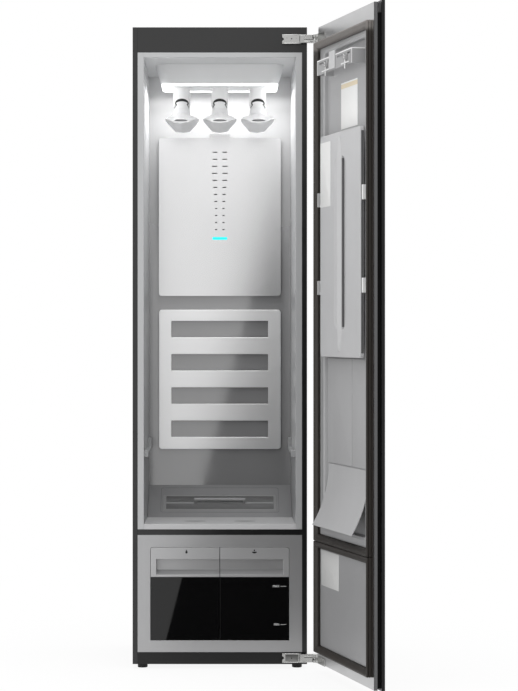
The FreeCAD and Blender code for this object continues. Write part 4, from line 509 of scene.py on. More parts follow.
# ---- operators ----
class CABINET_OT_finishes(bpy.types.Operator):
    """Give every piece of the frame its finish"""
    bl_idname = "cabinet.finishes"
    bl_label = "Finishes"

    def execute(self, context):
        for name, part in frame["nodes"].items():
            part.data.materials.clear()
            part.data.materials.append(slot_finish(SLOT_OF[name]))
        return {"FINISHED"}


class CABINET_OT_feet(bpy.types.Operator):
    """Turn the four levelling feet with their stems"""
    bl_idname = "cabinet.feet"
    bl_label = "Feet"

    def execute(self, context):
        # radius and height over the floor
        profile = ((0, 0), (14.5, 0), (16, 1.5), (16, 11), (14.5, 12.5), (9, 13), (8, 13.6), (8, 43), (0, 43))
        for node in ("front_left_foot", "front_right_foot", "rear_left_foot", "rear_right_foot"):
            x, y, _ = span(node)[2]
            dressed(node, [lathe(profile, x, y)])
        return {"FINISHED"}


class CABINET_OT_body(bpy.types.Operator):
    """Round the edges of the folded steel body and its trim"""
    bl_idname = "cabinet.body"
    bl_label = "Body"

    def execute(self, context):
        for node in ("left_side_panel", "right_side_panel", "top_panel", "divider_bar", "lower_front_panel",
                     "rear_panel", "power_inlet"):
            softened(node, "sheet_edge")
        softened("base_pan", "sheet_edge", finish("Base paint", chosen("body", 0.4), 0.36, grain=900))
        return {"FINISHED"}


def filter_and_tray():
    """The filter with its pale grip, the bead round it on the slope, and darker sheets in the tray's two
    shallow dips, painted as their shade.

    A point of the slope is its foot, plus the way along it and the height square to it, split into y and z
    by the slope's cosine and sine. The dips are ellipses.
    """
    low, high, _ = span("intake_housing")
    # the tray's floor lies 2 mm under its flange
    tray = span("floor_tray")[1][2] - 2
    slope = math.atan2(high[2] - tray, high[1] - low[1])
    reach = math.hypot(high[2] - tray, high[1] - low[1])
    c = math.cos(slope)
    s = math.sin(slope)
    level = low[1] * -s + tray * c
    plastic = finish("Filter plastic with pale grip", (0.31, 0.31, 0.313), 0.42, grain=900, depth=0.04)
    tinted(plastic, (0.0, -s, c), level + 9, level + 11, (0.38, 0.38, 0.385))
    softened("filter_grille", "sheet_edge", plastic)

    # the bead: from 30 mm above the slope's foot to 18 mm below its top, 1.6 mm wide and 0.6 mm high
    half_wide = span("filter_grille")[1][0] + 9.5
    half_long = (reach - 18 - 30) / 2
    rings = []
    for inset, height in ((0.0, -0.3), (0.0, 0.3), (0.5, 0.6), (1.1, 0.6), (1.6, 0.3), (1.6, -0.3)):
        x, along = rounded_loop(half_wide - inset, half_long - inset, 9)
        along += half_long + 30
        rings.append(upright(x, low[1] + along * c - height * s, tray + along * s + height * c))
    added("filter_surround", [band(rings)], "cabinet", "liner_grey",
          finish("Surround plastic", (0.17, 0.17, 0.172), 0.4, grain=900))

    # the dips: half axes of 35.5 and 24.5 mm, 81 mm beside the middle and 145 mm behind the front; in each
    # lies a darker sheet, painted shade
    turn = full_turn(48)
    levels = ((0.98, -1.45), (1.0, -1.3), (1.0, -0.7), (0.985, -0.5))
    dips = [loft([upright(x + 35.5 * share * np.cos(turn), FRONT + 145 + 24.5 * share * np.sin(turn),
                          tray + height) for share, height in levels]) for x in (-81, 81)]
    added("tray_pads", dips, "cabinet", "liner_grey",
          finish("Pad plastic", (0.30, 0.30, 0.303), 0.45, grain=900))


class CABINET_OT_cavity(bpy.types.Operator):
    """Round the edges of the cavity's lining, tray, filter and back panels"""
    bl_idname = "cabinet.cavity"
    bl_label = "Cavity"

    def execute(self, context):
        softened("tank_bay", "moulded_edge")
        # behind its front flange the lining's colour holds painted light and shade: the walls are darker than
        # the flange and grow paler towards the ceiling light, and the ceiling is paler than the flange
        moulded = dict(metal=0.3, grain=500, depth=0.012)
        walls = finish("Wall plastic", (0.38, 0.385, 0.39), 0.34, **moulded)
        tinted(walls, UP, 1560, 1860, (0.66, 0.665, 0.67))
        ceiling = finish("Ceiling plastic", (0.60, 0.605, 0.61), 0.34, **moulded)
        for plastic in (walls, ceiling):
            tinted(plastic, FORWARD, -FRONT - 12, -FRONT - 2, chosen("liner"))
        softened("liner_left_wall", "moulded_edge", walls)
        softened("liner_right_wall", "moulded_edge", walls)
        softened("liner_ceiling", "moulded_edge", ceiling)
        softened("floor_tray", "moulded_edge",
                 finish("Tray plastic", (0.47, 0.47, 0.475), 0.4, grain=500, depth=0.012))
        softened("intake_housing", "sheet_edge",
                 finish("Intake plastic", (0.27, 0.27, 0.275), 0.38, depth=0.015))
        filter_and_tray()
        # the back wall is painted paler in two steps towards the lit frame above it: painted light; the haze
        # from the steam only dulls its gloss
        wall = finish("Back wall under steam", (0.25, 0.25, 0.253), 0.08, spread=0.02, depth=0.002, ior=2.2,
                      marks=0.03)
        tinted(wall, UP, 1600, 1800, (0.33, 0.33, 0.333))
        tinted(wall, UP, 1830, 1890, (0.60, 0.60, 0.605))
        softened("liner_back_wall", "sheet_edge", hazed(wall, UP, 1250, 1650, 0.36))
        softened("led_bar", "sheet_edge")
        # the lower panel's silver is paler than that of the upper panel: painted light
        silver = finish("Lower silver panel", (0.96, 0.96, 0.965), 0.32, metal=0.8, grain=1400, depth=0.006,
                        spread=0.02, marks=0)
        softened("lower_back_panel", "soft_edge", silver, flat=True)
        return {"FINISHED"}


# ---- ceiling unit, nozzles and hangers ----
def ceiling_rings():
    """The housing under the ceiling: rounded rectangles that widen upwards to the sloping ceiling."""
    low, high, middle = span("ceiling_housing")
    ceiling_low, ceiling_high, _ = span("liner_ceiling")
    light_low, light_high, light_middle = span("ceiling_light_frame")
    low_half = (light_high - light_low) / 2
    top_half = (high - low) / 2
    rings = []
    for share in (0.0, 0.015, 0.25, 0.5, 0.75, 1.0):
        half = low_half + (top_half - low_half) * share
        inset = 1.0 if share == 0.0 else 0.0
        x, y = rounded_loop(half[0] - inset, half[1] - inset, 40 - inset, per=12)
        y += light_middle[1]
        # the ceiling falls evenly by 11 mm towards the back, and the topmost ring lies 1 mm inside its sheet
        slope = (y - ceiling_low[1]) / (ceiling_high[1] - ceiling_low[1])
        ceiling = ceiling_low[2] + 11 * (1 - slope) + 1
        rings.append(upright(middle[0] + x, y, light_high[2] + (ceiling - light_high[2]) * share))
    return rings


class CABINET_OT_ceiling_unit(bpy.types.Operator):
    """Build the steam unit's housing, its inset plate and its lit frame"""
    bl_idname = "cabinet.ceiling_unit"
    bl_label = "Ceiling unit"

    def execute(self, context):
        low, high, middle = span("ceiling_light_frame")
        inset_half = np.array([157, 98])
        inset_middle = np.array([0, low[1] + 109])
        depth = (span("steam_nozzles")[1][2] - 0.5, high[2] + 1)
        plate = slab(lambda a, c, b: upright(a, b, c), inset_middle, inset_half, depth, 7, 0.8)
        dressed("ceiling_housing", [loft(ceiling_rings()), plate],
                finish("Housing plastic", (0.76, 0.765, 0.77), 0.4, grain=500, depth=0.012))

        # frame: an outer and an inner rounded loop, carried round a low section with rounded edges
        section = (  # whether it is on the inner loop, inset and height above the lower face
            (False, 0.0, 6.0), (False, 0.0, 2.0), (False, 0.6, 0.6), (False, 2.0, 0.0),
            (True, 1.2, 0.0), (True, 0.4, 0.4), (True, 0.0, 1.2), (True, 0.0, 6.0))
        rings = []
        for inner, inset, up in section:
            centre = inset_middle if inner else middle
            half = inset_half + 0.4 + inset if inner else (high - low)[:2] / 2 - inset
            x, y = rounded_loop(half[0], half[1], 8 if inner else 28, per=10)
            rings.append(upright(centre[0] + x, centre[1] + y, low[2] + up))
        dressed("ceiling_light_frame", [band(rings)])
        return {"FINISHED"}


COLLAR = 30.5
TUBE = 27.75
BORE = 23.6
NOTCH = math.asin(BORE / TUBE)


def nozzle_centres():
    """The axes of the three nozzles: the middle and the two ends of their node, a collar's radius in."""
    low, high, middle = span("steam_nozzles")
    reach = (high[0] - low[0]) / 2 - COLLAR
    return [(middle[0] + side * reach, middle[1]) for side in (-1, 0, 1)]


def nozzle(x, y, low, top):
    """A collared tube with an arched notch in front.

    The notch's height over the tube's end is 10.5 mm and then a half ellipse, 14.5 mm high at the middle.
    """
    front = np.linspace(-NOTCH, NOTCH, 25)
    rest = np.linspace(NOTCH, 2 * math.pi - NOTCH, 48)
    turn = np.concatenate([front, rest])
    rise = 10.5 + 14.5 * np.sqrt(np.clip(1 - (np.sin(front) / math.sin(NOTCH)) ** 2, 0, 1))
    end = low + np.concatenate([rise, np.zeros(len(rest))])
    profile = (  # radius, and height over the tube's top or its end
        (COLLAR, 0, top), (COLLAR, -5.4, top), (29.9, -6, top), (28.4, -6, top), (TUBE, -6.8, top),
        (TUBE, 0.7, end), (27.3, 0, end), (24.1, 0, end), (BORE, 0.7, end), (BORE, 0, top))
    return band([upright(x + radius * np.sin(turn), y - radius * np.cos(turn), base + height)
                 for radius, height, base in profile])


def on_tube(centre, radius, across, z):
    """Points wrapped on the front of an upright tube: across is measured straight from its middle."""
    turn = np.arcsin(np.clip(across / radius, -0.999, 0.999))
    return upright(centre[0] + radius * np.sin(turn), centre[1] - radius * np.cos(turn), z)


def seal(centre, foot):
    """The seal's bead: an arch of half ellipses on the tube, whose ends curl in and run out thinly."""
    turn = np.linspace(0, math.pi, 33)
    arch = np.stack([22.5 * np.cos(turn), 2.2 + 10.4 * np.sin(turn), 2.0 + 2.8 * np.sin(turn)], -1)
    # the ends, as the distance across, the height over the foot and half the bead's width
    tail = np.array([(21.2, 0.8, 1.9), (19.6, -0.2, 1.8), (18.2, -1.2, 1.7), (17.7, -2.9, 1.4),
                     (18.6, -5.0, 1.1), (20.6, -7.2, 0.8), (23.0, -9.8, 0.6), (25.2, -12.6, 0.4)])
    across, z, half = np.concatenate([tail[::-1], arch, tail * [-1, 1, 1]]).T
    way = np.stack([np.gradient(across), np.gradient(z)], -1)
    way /= np.linalg.norm(way, axis=1, keepdims=True)
    # the bead's section, as the share of half its width and the radius
    side, radius = np.array([(1, 26.3), (0.7, 27.0), (-0.7, 27.0), (-1, 26.3), (-1, 24.2), (1, 24.2)]).T
    offset = half[:, None] * side
    return loft(on_tube(centre, radius, across[:, None] - way[:, 1:] * offset,
                        foot + z[:, None] + way[:, :1] * offset))


class CABINET_OT_nozzles(bpy.types.Operator):
    """Build the three steam nozzles and their seals"""
    bl_idname = "cabinet.nozzles"
    bl_label = "Nozzles"

    def execute(self, context):
        low, high, _ = span("steam_nozzles")
        foot = span("nozzle_seals")[0][2]
        dressed("steam_nozzles", [nozzle(x, y, low[2], high[2]) for x, y in nozzle_centres()])
        # the ring behind each bead: radius and height over the seal's foot
        ring = np.array([(20.9, 1), (21.6, 0.3), (22.9, 0.3), (23.4, 1), (23.4, 17), (22.9, 18), (21.6, 18),
                         (20.9, 17)]) + [0, foot]
        parts = []
        for x, y in nozzle_centres():
            parts += [seal((x, y), foot), lathe(ring, x, y, hollow=True)]
        dressed("nozzle_seals", parts)
        return {"FINISHED"}


def hanger_shell(centre, half_long, z, droop):
    """The shoulders: thin wings with a ridge, whose width and height fall with the square of the length.

    Across the wing the height falls with its fourth power, and a bell curve raises the ridge above
    and hangs the duct below. The front tip is open as an oval outlet; the rear tip is rounded off.
    """
    turn = full_turn(64)
    side = np.cos(turn)
    face = np.sin(turn)

    def ring(t, scale=1.0, push=0.0):
        across = (56 - 32 * t * t) * scale * side
        ridge = (9 - 4 * t * t) * np.exp(-(across / 19) ** 2)
        duct = (8 - 3 * t * t) * np.exp(-(across / 22) ** 2)
        bulge = np.where(face > 0, ridge, duct) * np.tanh(4 * face)
        height = z - 29 * t * t - droop * side ** 4 * (1 - 0.55 * t * t) + (3 * face + bulge) * scale
        return upright(centre[0] + across, centre[1] + half_long * t + push, height)

    rings = [ring(t) for t in np.sin(np.linspace(-math.pi / 2, math.pi / 2, 41))]
    front = centre[1] - half_long
    mouth = [upright(centre[0] + 22.4 * side, front + depth, z - 28.6 + 3.5 * face) for depth in (24, 1, 0)]
    lip = (rings[0] + mouth[-1]) / 2 - [0, 0.8, 0]
    rear = [ring(1.0, 0.85, 1.6), ring(1.0, 0.5, 2.8), ring(1.0, 0.15, 3.2)]
    return loft(mouth + [lip] + rings + rear)


def tongue(centre, foot):
    """The neck's plug that fills a nozzle's notch under its seal: a curved sheet with an arched top."""
    across = 20 * np.sin(np.linspace(-math.pi / 2, math.pi / 2, 25))
    arch = foot + 9 * np.sqrt(np.clip(1 - (across / 20) ** 2, 0, 1))
    base = foot - 16
    rows = ((24.6, 0.0), (25.6, 0.2), (26.3, 0.45), (26.4, 0.96), (26.1, 1.0), (21.0, 1.0), (21.0, 0.0))
    sheet = np.array([on_tube(centre, radius, across, base + (arch - base) * share)
                      for radius, share in rows])
    return loft(sheet.transpose(1, 0, 2))


class CABINET_OT_hangers(bpy.types.Operator):
    """Build the three air hangers with their necks"""
    bl_idname = "cabinet.hangers"
    bl_label = "Hangers"

    def execute(self, context):
        droop = context.scene.cabinet_sizes.wing_droop / MM
        foot = span("nozzle_seals")[0][2]
        # the shoulders lie 30 mm under the nozzles; the neck is given by radius and height over them
        z = span("steam_nozzles")[0][2] - 30
        neck = np.array([(30, -8), (28.6, -2), (27.6, 4), (27, 10), (26.2, 17), (25.4, 22), (24, 26),
                         (21.6, 30), (19.4, 34), (18.4, 38), (19.4, 43), (20.5, 47), (20.5, 60), (19.5, 62),
                         (14, 62)]) + [0, z]
        for node, centre in zip(("hanger_left", "hanger_centre", "hanger_right"), nozzle_centres()):
            low, high, _ = span(node)
            shell = hanger_shell(centre, (high[1] - low[1]) / 2, z - 3, droop)
            dressed(node, [shell, lathe(neck, *centre), tongue(centre, foot)])
        return {"FINISHED"}


# ---- tanks ----
def level_mark(word, height, face):
    """A word that ends at x 191 mm and a line after it, at a height on the drain tank's face."""
    curve = bpy.data.curves.new(word + "_text", "FONT")
    curve.body = word
    curve.size = 9.8 * MM
    curve.align_x = "RIGHT"
    curve.align_y = "CENTER"
    curve.extrude = 0.15 * MM
    curve.resolution_u = 3
    text = placed(word + "_text", curve)
    bpy.context.view_layer.update()
    made = bpy.data.meshes.new_from_object(text.evaluated_get(bpy.context.evaluated_depsgraph_get()))
    bpy.data.objects.remove(text)
    x, y, z = corners(made).T / MM
    made.vertices.foreach_set("co", (upright(x + 191, face - z - 0.05, y + height) * MM).reshape(-1))
    made.update()
    settle(placed(word.lower() + "_mark", made), "drain_tank", "clip_white")
    line = slab(on_front, (204.2, height), (9.3, 0.45), (FRONT - face - 0.1, FRONT - face + 0.2), 0.4, 0.08)
    added(word.lower() + "_line", [line], "drain_tank", "clip_white")


def sign(name, body, outline):
    """A thin raised mark on the face of a tank's cover, from a closed outline of (x, z)."""
    face = span(body + "_cover")[0][1] + 0.02
    added(name, [loft([upright(outline[:, 0], face - depth, outline[:, 1]) for depth in (0.0, 0.2)])], body,
          "black_plastic")


class CABINET_OT_tanks(bpy.types.Operator):
    """Round the tanks and their covers, and add the level marks and the water signs"""
    bl_idname = "cabinet.tanks"
    bl_label = "Tanks"

    def execute(self, context):
        for node in ("fresh_tank", "drain_tank", "fresh_tank_cover", "drain_tank_cover"):
            softened(node, "moulded_edge")
        for word, height in (("MAX", 265.3), ("MIN", 142.6)):
            level_mark(word, height, span("drain_tank")[0][1])
        # signs: a drop whose width is a sine narrowed towards its point, and a drop over a bowl
        turn = full_turn(32)
        drop = np.stack([np.sin(turn) * np.sin(turn / 2) ** 1.5, np.cos(turn)], -1)
        arc = np.linspace(math.pi, 2 * math.pi, 17)
        bowl = np.stack([8 * np.cos(arc), 5.5 * np.sin(arc)], -1)
        sign("fresh_tank_cover_drop", "fresh_tank", drop * [5.2, 6.4] + [-107, 377])
        sign("drain_tank_cover_drop", "drain_tank", drop * [3.4, 3.2] + [111, 381.2])
        sign("drain_tank_cover_bowl", "drain_tank", bowl + [111, 376.4])
        return {"FINISHED"}


# ---- door ----
def door_ring(low, high, inset, corner, height, per):
    """A rounded rectangle at a height over the door's face, set in from its limits in u and z."""
    half = (np.array(high) - low) / 2 - inset
    middle = (np.array(high) + low) / 2
    u, z = rounded_loop(half[0], half[1], corner, per)
    return on_door(middle[0] + u, height, middle[1] + z)


def gasket_frame(low, high, deep):
    """A bellows frame: a section with two grooves on each side, carried round a rectangle.

    Its crown stands 21 mm high along the outside and slopes down to 12 mm on the inside.
    """
    wide = 21
    notch = deep * 0.6
    section = (  # distance in from the outer limits, and height over the plate
        (0, 0), (0, 4.6), (deep, 6.2), (0, 7.8), (0, 12.6), (deep, 14.2), (0.2, 15.8), (0.4, 18.6),
        (1.6, 20.4), (4, 21), (7, 20.6), (11, 19), (15, 16.6), (18.6, 13.8), (20.4, 11.8), (20.8, 10.2),
        (20.8 - notch, 8.8), (wide, 7.4), (wide, 5.6), (wide - notch, 4.2), (wide, 2.8), (wide, 0))
    return band([door_ring(low, high, inset, 3 - inset * 0.11, height, per=4) for inset, height in section])


class CABINET_OT_door_shell(bpy.types.Operator):
    """Round the edges of the door's plate, channel and outer panel"""
    bl_idname = "cabinet.door_shell"
    bl_label = "Door shell"

    def execute(self, context):
        across = on_door(1, 0, 0) - on_door(0, 0, 0)
        edge = float(on_door(door_span("door_inner_plate")[1][0], 0, 0) @ across)
        # the plate's last millimetre at its outer edge is darkened: a painted dark reflection
        plate = finish("Door plate with dark edge", (0.56, 0.56, 0.565), 0.32, **brushed(0.9, 2))
        softened("door_inner_plate", "sheet_edge",
                 tinted(plate, tuple(across), edge - 1.5, edge - 0.9, (0.12, 0.12, 0.122)))
        softened("door_outer_panel", "sheet_edge")
        softened("door_channel", "moulded_edge")
        return {"FINISHED"}


class CABINET_OT_gaskets(bpy.types.Operator):
    """Build the two bellows gaskets of the door"""
    bl_idname = "cabinet.gaskets"
    bl_label = "Gaskets"

    def execute(self, context):
        deep = context.scene.cabinet_sizes.groove / MM
        low, high = door_span("door_gaskets")
        split = door_span("lower_door_liner")[1][2] + 22
        frames = [gasket_frame((low[0], split + 0.5), (high[0], high[2]), deep),
                  gasket_frame((low[0], low[2]), (high[0], split), deep)]
        made = dressed("door_gaskets", frames, angle=40)
        # the top run of the gaskets is paler: painted light on its lit top
        tinted(made.data.materials[0], UP, 1966, 1984, (0.18, 0.166, 0.156))
        return {"FINISHED"}


class CABINET_OT_door_liners(bpy.types.Operator):
    """Form the door's upper liner with its recess and ledge, and round the lower liner"""
    bl_idname = "cabinet.door_liners"
    bl_label = "Door liners"

    def execute(self, context):
        low, high = door_span("upper_door_liner")
        outer = ((low[0], low[2]), (high[0], high[2]))
        pan = ((80.5, 470), (514.5, 1958))
        rows = (  # limits, inset, corner and height over the plate, from the recess floor round to its back
            (pan, 4.5, 6, -12), (pan, 2.2, 8, -11.4), (pan, 0.8, 9, -9.6), (pan, 0.1, 10, -6),
            (pan, -0.2, 10, 0.8), (pan, -0.9, 10.6, 2.3), (pan, -2.2, 12, 3.0), (pan, -7, 16, 3.0),
            (pan, -8.2, 17, 4.0),
            (pan, -9.8, 18, 4.2), (pan, -11.4, 19, 3.9), (pan, -12.6, 20, 3.0), (outer, 2.5, 3, 3.0),
            (outer, 0.8, 3, 2.8), (outer, 0.0, 3, 1.8), (outer, 0.0, 3, 0.0), (pan, -2.5, 12, 0.0),
            (pan, -2.5, 12, -13.5), (pan, -1.5, 11, -14.5))
        rings = [door_ring(*limits, inset, corner, height, per=9) for limits, inset, corner, height in rows]
        # the ledge over the pan's floor, from 672 to 1000 mm high, in two plates with a seam between them
        plates = [slab(on_door, ((left + right) / 2, 836), ((right - left) / 2, 164), (-12.5, -8), 1.5, 0.7)
                  for left, right in ((82, 341.5), (344.5, 513))]
        dressed("upper_door_liner", [loft(rings)] + plates, angle=50)
        # the lower liner is a darker grey than the door liner above it: painted shade, the door being lit
        # from above
        softened("lower_door_liner", "soft_edge",
                 finish("Lower door liner", (0.31, 0.31, 0.315), 0.36, grain=500, depth=0.015))
        return {"FINISHED"}


class CABINET_OT_drip_guide(bpy.types.Operator):
    """Round the edges of the flap that leads drips back into the cavity"""
    bl_idname = "cabinet.drip_guide"
    bl_label = "Drip guide"

    def execute(self, context):
        softened("drip_guide", "moulded_edge")
        return {"FINISHED"}


def press_relief(across, z, low, high):
    """Height of the press plate's face over its plane.

    The spine is a ridge 10 mm high, whose width runs out to a point over 70 mm at each end. Beside it lie
    two finger channels, 8 mm deep at the spine, whose floor rises to the face over 42 mm and whose ends are
    quarter circles.
    """
    spine_half = 22
    away = np.abs(across)
    tip = np.minimum(z - (low + 18), (high - 14) - z)
    half = spine_half * np.clip(tip / 70, 0, 1) ** 0.75
    share = np.clip(away / np.maximum(half, 1e-3), 0, 1)
    spine = np.where(half > 0, 10 * np.sqrt(np.clip(half / spine_half, 0, 1)) * (1 - share ** 1.5), 0.0)
    end = np.clip(np.minimum(z - (low + 86), (high - 76) - z), 0, 34)
    reach = 42 * np.sqrt(np.clip(1 - (1 - end / 34) ** 2, 0, 1))
    out = (away - spine_half) / np.maximum(reach, 1e-3)
    depth = 8 * np.clip(1 - out, 0, 1) ** 0.85 * (reach > 1e-2)
    return spine - depth * np.clip((away - 20.6) / 1.6, 0, 1)


def press_board(low, high):
    """The press plate: rows of loops from its lower edge to its upper one, the front carrying the relief.

    low and high are the limits in u and z. The half width narrows over the corners as a quarter circle
    does, and the face falls away over the last 2.5 mm as one too.
    """
    corner = 14
    edge = 2.5
    face = 17.5
    back = 5.5
    middle = (low[0] + high[0]) / 2
    half = (high[0] - low[0]) / 2
    share = 1 - np.cos(np.linspace(0, math.pi / 2, 7))
    inner = np.concatenate([np.linspace(18, 100, 56), np.linspace(104, 600, 80)])
    from_low = np.concatenate([np.unique(np.concatenate([edge * share, corner * share])),
                               inner[inner < (high[1] - low[1]) / 2]])
    z = np.concatenate([low[1] + from_low, high[1] - from_low[::-1]])
    from_end = np.minimum(z - low[1], high[1] - z)
    over = np.clip(corner - from_end, 0, corner)
    width = half - (corner - np.sqrt(corner ** 2 - over ** 2))
    grid = np.concatenate([np.linspace(0, 20, 12), np.linspace(20.4, 23, 10), np.linspace(24, 66, 30),
                           np.linspace(70, 207, 16), half - edge * share[::-1]])
    grid = np.concatenate([-grid[::-1], grid[1:]]) / half
    across = grid * width[:, None]
    tall = z[:, None] + np.zeros_like(across)
    from_side = width[:, None] * (1 - np.abs(grid))
    gap = np.clip(edge - np.minimum(from_side, from_end[:, None]), 0, edge)
    fall = edge - np.sqrt(edge ** 2 - gap ** 2)
    front = on_door(middle + across, face - fall + press_relief(across, tall, low[1], high[1]), tall)
    rear = on_door(middle + np.array([1.0, 0.5, 0.0, -0.5, -1.0]) * width[:, None], back, z[:, None])
    return loft(np.concatenate([front, rear], 1))


def door_rod(u, p, z, half, radius):
    """An upright rod of the door with eased ends, from half below a height to half above it."""
    turn = full_turn(24)
    ease = min(radius * 0.3, 0.6)
    ends = ((radius - ease, -half), (radius, ease - half), (radius, half - ease), (radius - ease, half))
    return loft([on_door(u + reach * np.cos(turn), p + reach * np.sin(turn), z + up) for reach, up in ends])


class CABINET_OT_press(bpy.types.Operator):
    """Build the trouser press plate with its spine and finger channels, and round its clips"""
    bl_idname = "cabinet.press"
    bl_label = "Trouser press"

    def execute(self, context):
        low, high = door_span("press_plate")
        left = 83
        right = high[0]
        middle = (low[2] + high[2]) / 2
        half = (high[2] - low[2]) / 2
        hinges = (low[2] + 217, high[2] - 198)
        parts = [press_board((left, low[2]), (right, high[2]))]
        # hinges: a knuckle and a thinner pin on the axis at u 75 and p 8, and a leaf that joins the plate
        for z in hinges:
            parts += [door_rod(75, 8, z, 12, 5), door_rod(75, 8, z, 20, 2.5),
                      slab(on_door, (79.5, z), (4.5, 12), (6.5, 9.5), 0.8, 0.5)]
        dressed("press_plate", parts, angle=30)
        # dark strips painted as shade: down both sides of the spine inside its channels, and along the
        # plate's outer edge, where its side lies in shadow
        shade_strips = [slab(on_door, ((left + right) / 2 + side * 22.6, middle + 5), (0.5, half - 88), (9.8, 17.2),
                       0.4, 0.2) for side in (-1, 1)]
        shade_strips.append(slab(on_door, (right + 0.05, middle), (0.2, half - 14), (6.4, 14.6), 0.15, 0.1))
        added("press_inlays", shade_strips, "press", "press_grey",
              finish("Inlay plastic", (0.12, 0.12, 0.122), 0.5, grain=900))
        # lugs beside the plate's hinges, fixed to the door and clear of the plate as it swings
        lugs = [slab(on_door, (62.3, z), (2.5, 22), (2, 21), 2.4, 2) for z in hinges]
        added("press_lugs", lugs, "door", "clip_white",
              finish("Lug plastic", (0.42, 0.42, 0.425), 0.4, grain=700))
        softened("press_clips", "moulded_edge")
        return {"FINISHED"}


def jaw(node, band_low):
    """A sprung jaw: a thin lever whose upper half leans out with the square of its height, a tube round its
    pin and a slim bar across its foot."""
    low, high = door_span(node)
    u, p, _ = (low + high) / 2
    pin = band_low + 21
    turn = full_turn(24)
    tube = [on_door(u + side, p + radius * np.cos(turn), pin + radius * np.sin(turn))
            for radius, side in ((2.7, -5.4), (2.7, 5.4), (1.65, 5.4), (1.65, -5.4))]
    bar = slab(on_door, (u, band_low + 5), ((high[0] - low[0]) / 2, 1.8), (p - 1.1, p + 1.1), 1.5, 0.6)
    parts = [band(tube), bar]
    a, b = rounded_loop(2.6, 1.1, 0.8, per=4)
    for start, end in ((low[2], pin - 2.2), (pin + 2.2, high[2])):
        parts.append(loft([on_door(u + a, p + 5 * (max(z - pin, 0) / (high[2] - pin)) ** 2 + b, z)
                           for z in np.linspace(start, end, 9)]))
    return parts


class CABINET_OT_holder(bpy.types.Operator):
    """Round the trouser holder and its clips, and build its rims, its cover and the sprung jaws"""
    bl_idname = "cabinet.holder"
    bl_label = "Trouser holder"

    def execute(self, context):
        softened("trouser_bar", "moulded_edge")
        low, high = door_span("trouser_bar")
        # the band that holds the trousers is 46 mm high, and its face stands 40 mm over the door's inner face
        top = low[2] + 46
        face = 40
        middle = ((low[0] + high[0]) / 2, (low[2] + top) / 2)
        half = ((high[0] - low[0]) / 2, (top - low[2]) / 2)
        rims = (  # place, middle, half size and level: the band's top, its two ends and its outer end's top
            (on_door, (middle[0], top - 1.9), (half[0], 1.9), face),
            (on_door, (low[0] + 1.4, middle[1]), (1.4, half[1]), face),
            (on_door, (high[0] - 1.4, middle[1]), (1.4, half[1]), face),
            (lambda p, u, z: on_door(u, p, z), (15, top - 1.6), (25.3, 1.6), high[0]))
        added("holder_rims", [slab(place, at, size, (level - 0.3, level + 0.5), 0.8, 0.4)
                              for place, at, size, level in rims], "door", "holder_grey",
              finish("Holder rim", (0.88, 0.88, 0.88), 0.3, grain=700))
        block = slab(on_door, (297.5, (low[2] + high[2]) / 2 + 1.2), (31, 27),
                     (high[1] - 0.2, high[1] + 0.5), 2, 0.4)
        added("holder_block_cover", [block], "door", "holder_grey",
              finish("Holder block", (0.60, 0.60, 0.605), 0.34, grain=700))
        for side in ("left", "right"):
            softened(side + "_clip_carriage", "sheet_edge")
            dressed(side + "_clip_jaw", jaw(side + "_clip_jaw", low[2]))
        return {"FINISHED"}


class CABINET_OT_labels(bpy.types.Operator):
    """Lay the blank labels on the door"""
    bl_idname = "cabinet.labels"
    bl_label = "Blank labels"

    def execute(self, context):
        labels = (  # name, body, slot, limits in u and z, the face it lies on, and how pale its paper is
            ("care_label", "door", "door_liner_grey", (215, 388), (1709, 1852), -12, 0.88),
            ("press_label", "press", "press_grey", (85.5, 196), (1473, 1675), 17.5, 0.76),
            ("lower_label", "door", "door_liner_grey", (45, 240), (280, 392), 3, 0.58))
        for name, body, slot, (left, right), (low, high), face, pale in labels:
            sheet = slab(on_door, ((left + right) / 2, (low + high) / 2),
                         ((right - left) / 2, (high - low) / 2), (face - 0.1, face + 0.3), 1.5, 0.1, per=3)
            paper = finish(name.capitalize().replace("_", " "), (pale, pale, pale * 0.99), 0.55, grain=1600,
                           depth=0.01, drift=0.02)
            if name == "care_label":
                # a warm strip along its top
                tinted(paper, UP, 1832, 1835, (0.80, 0.70, 0.52))
                tinted(paper, UP, 1847, 1848, (pale, pale, pale))
            added(name, [sheet], body, slot, paper)
        return {"FINISHED"}


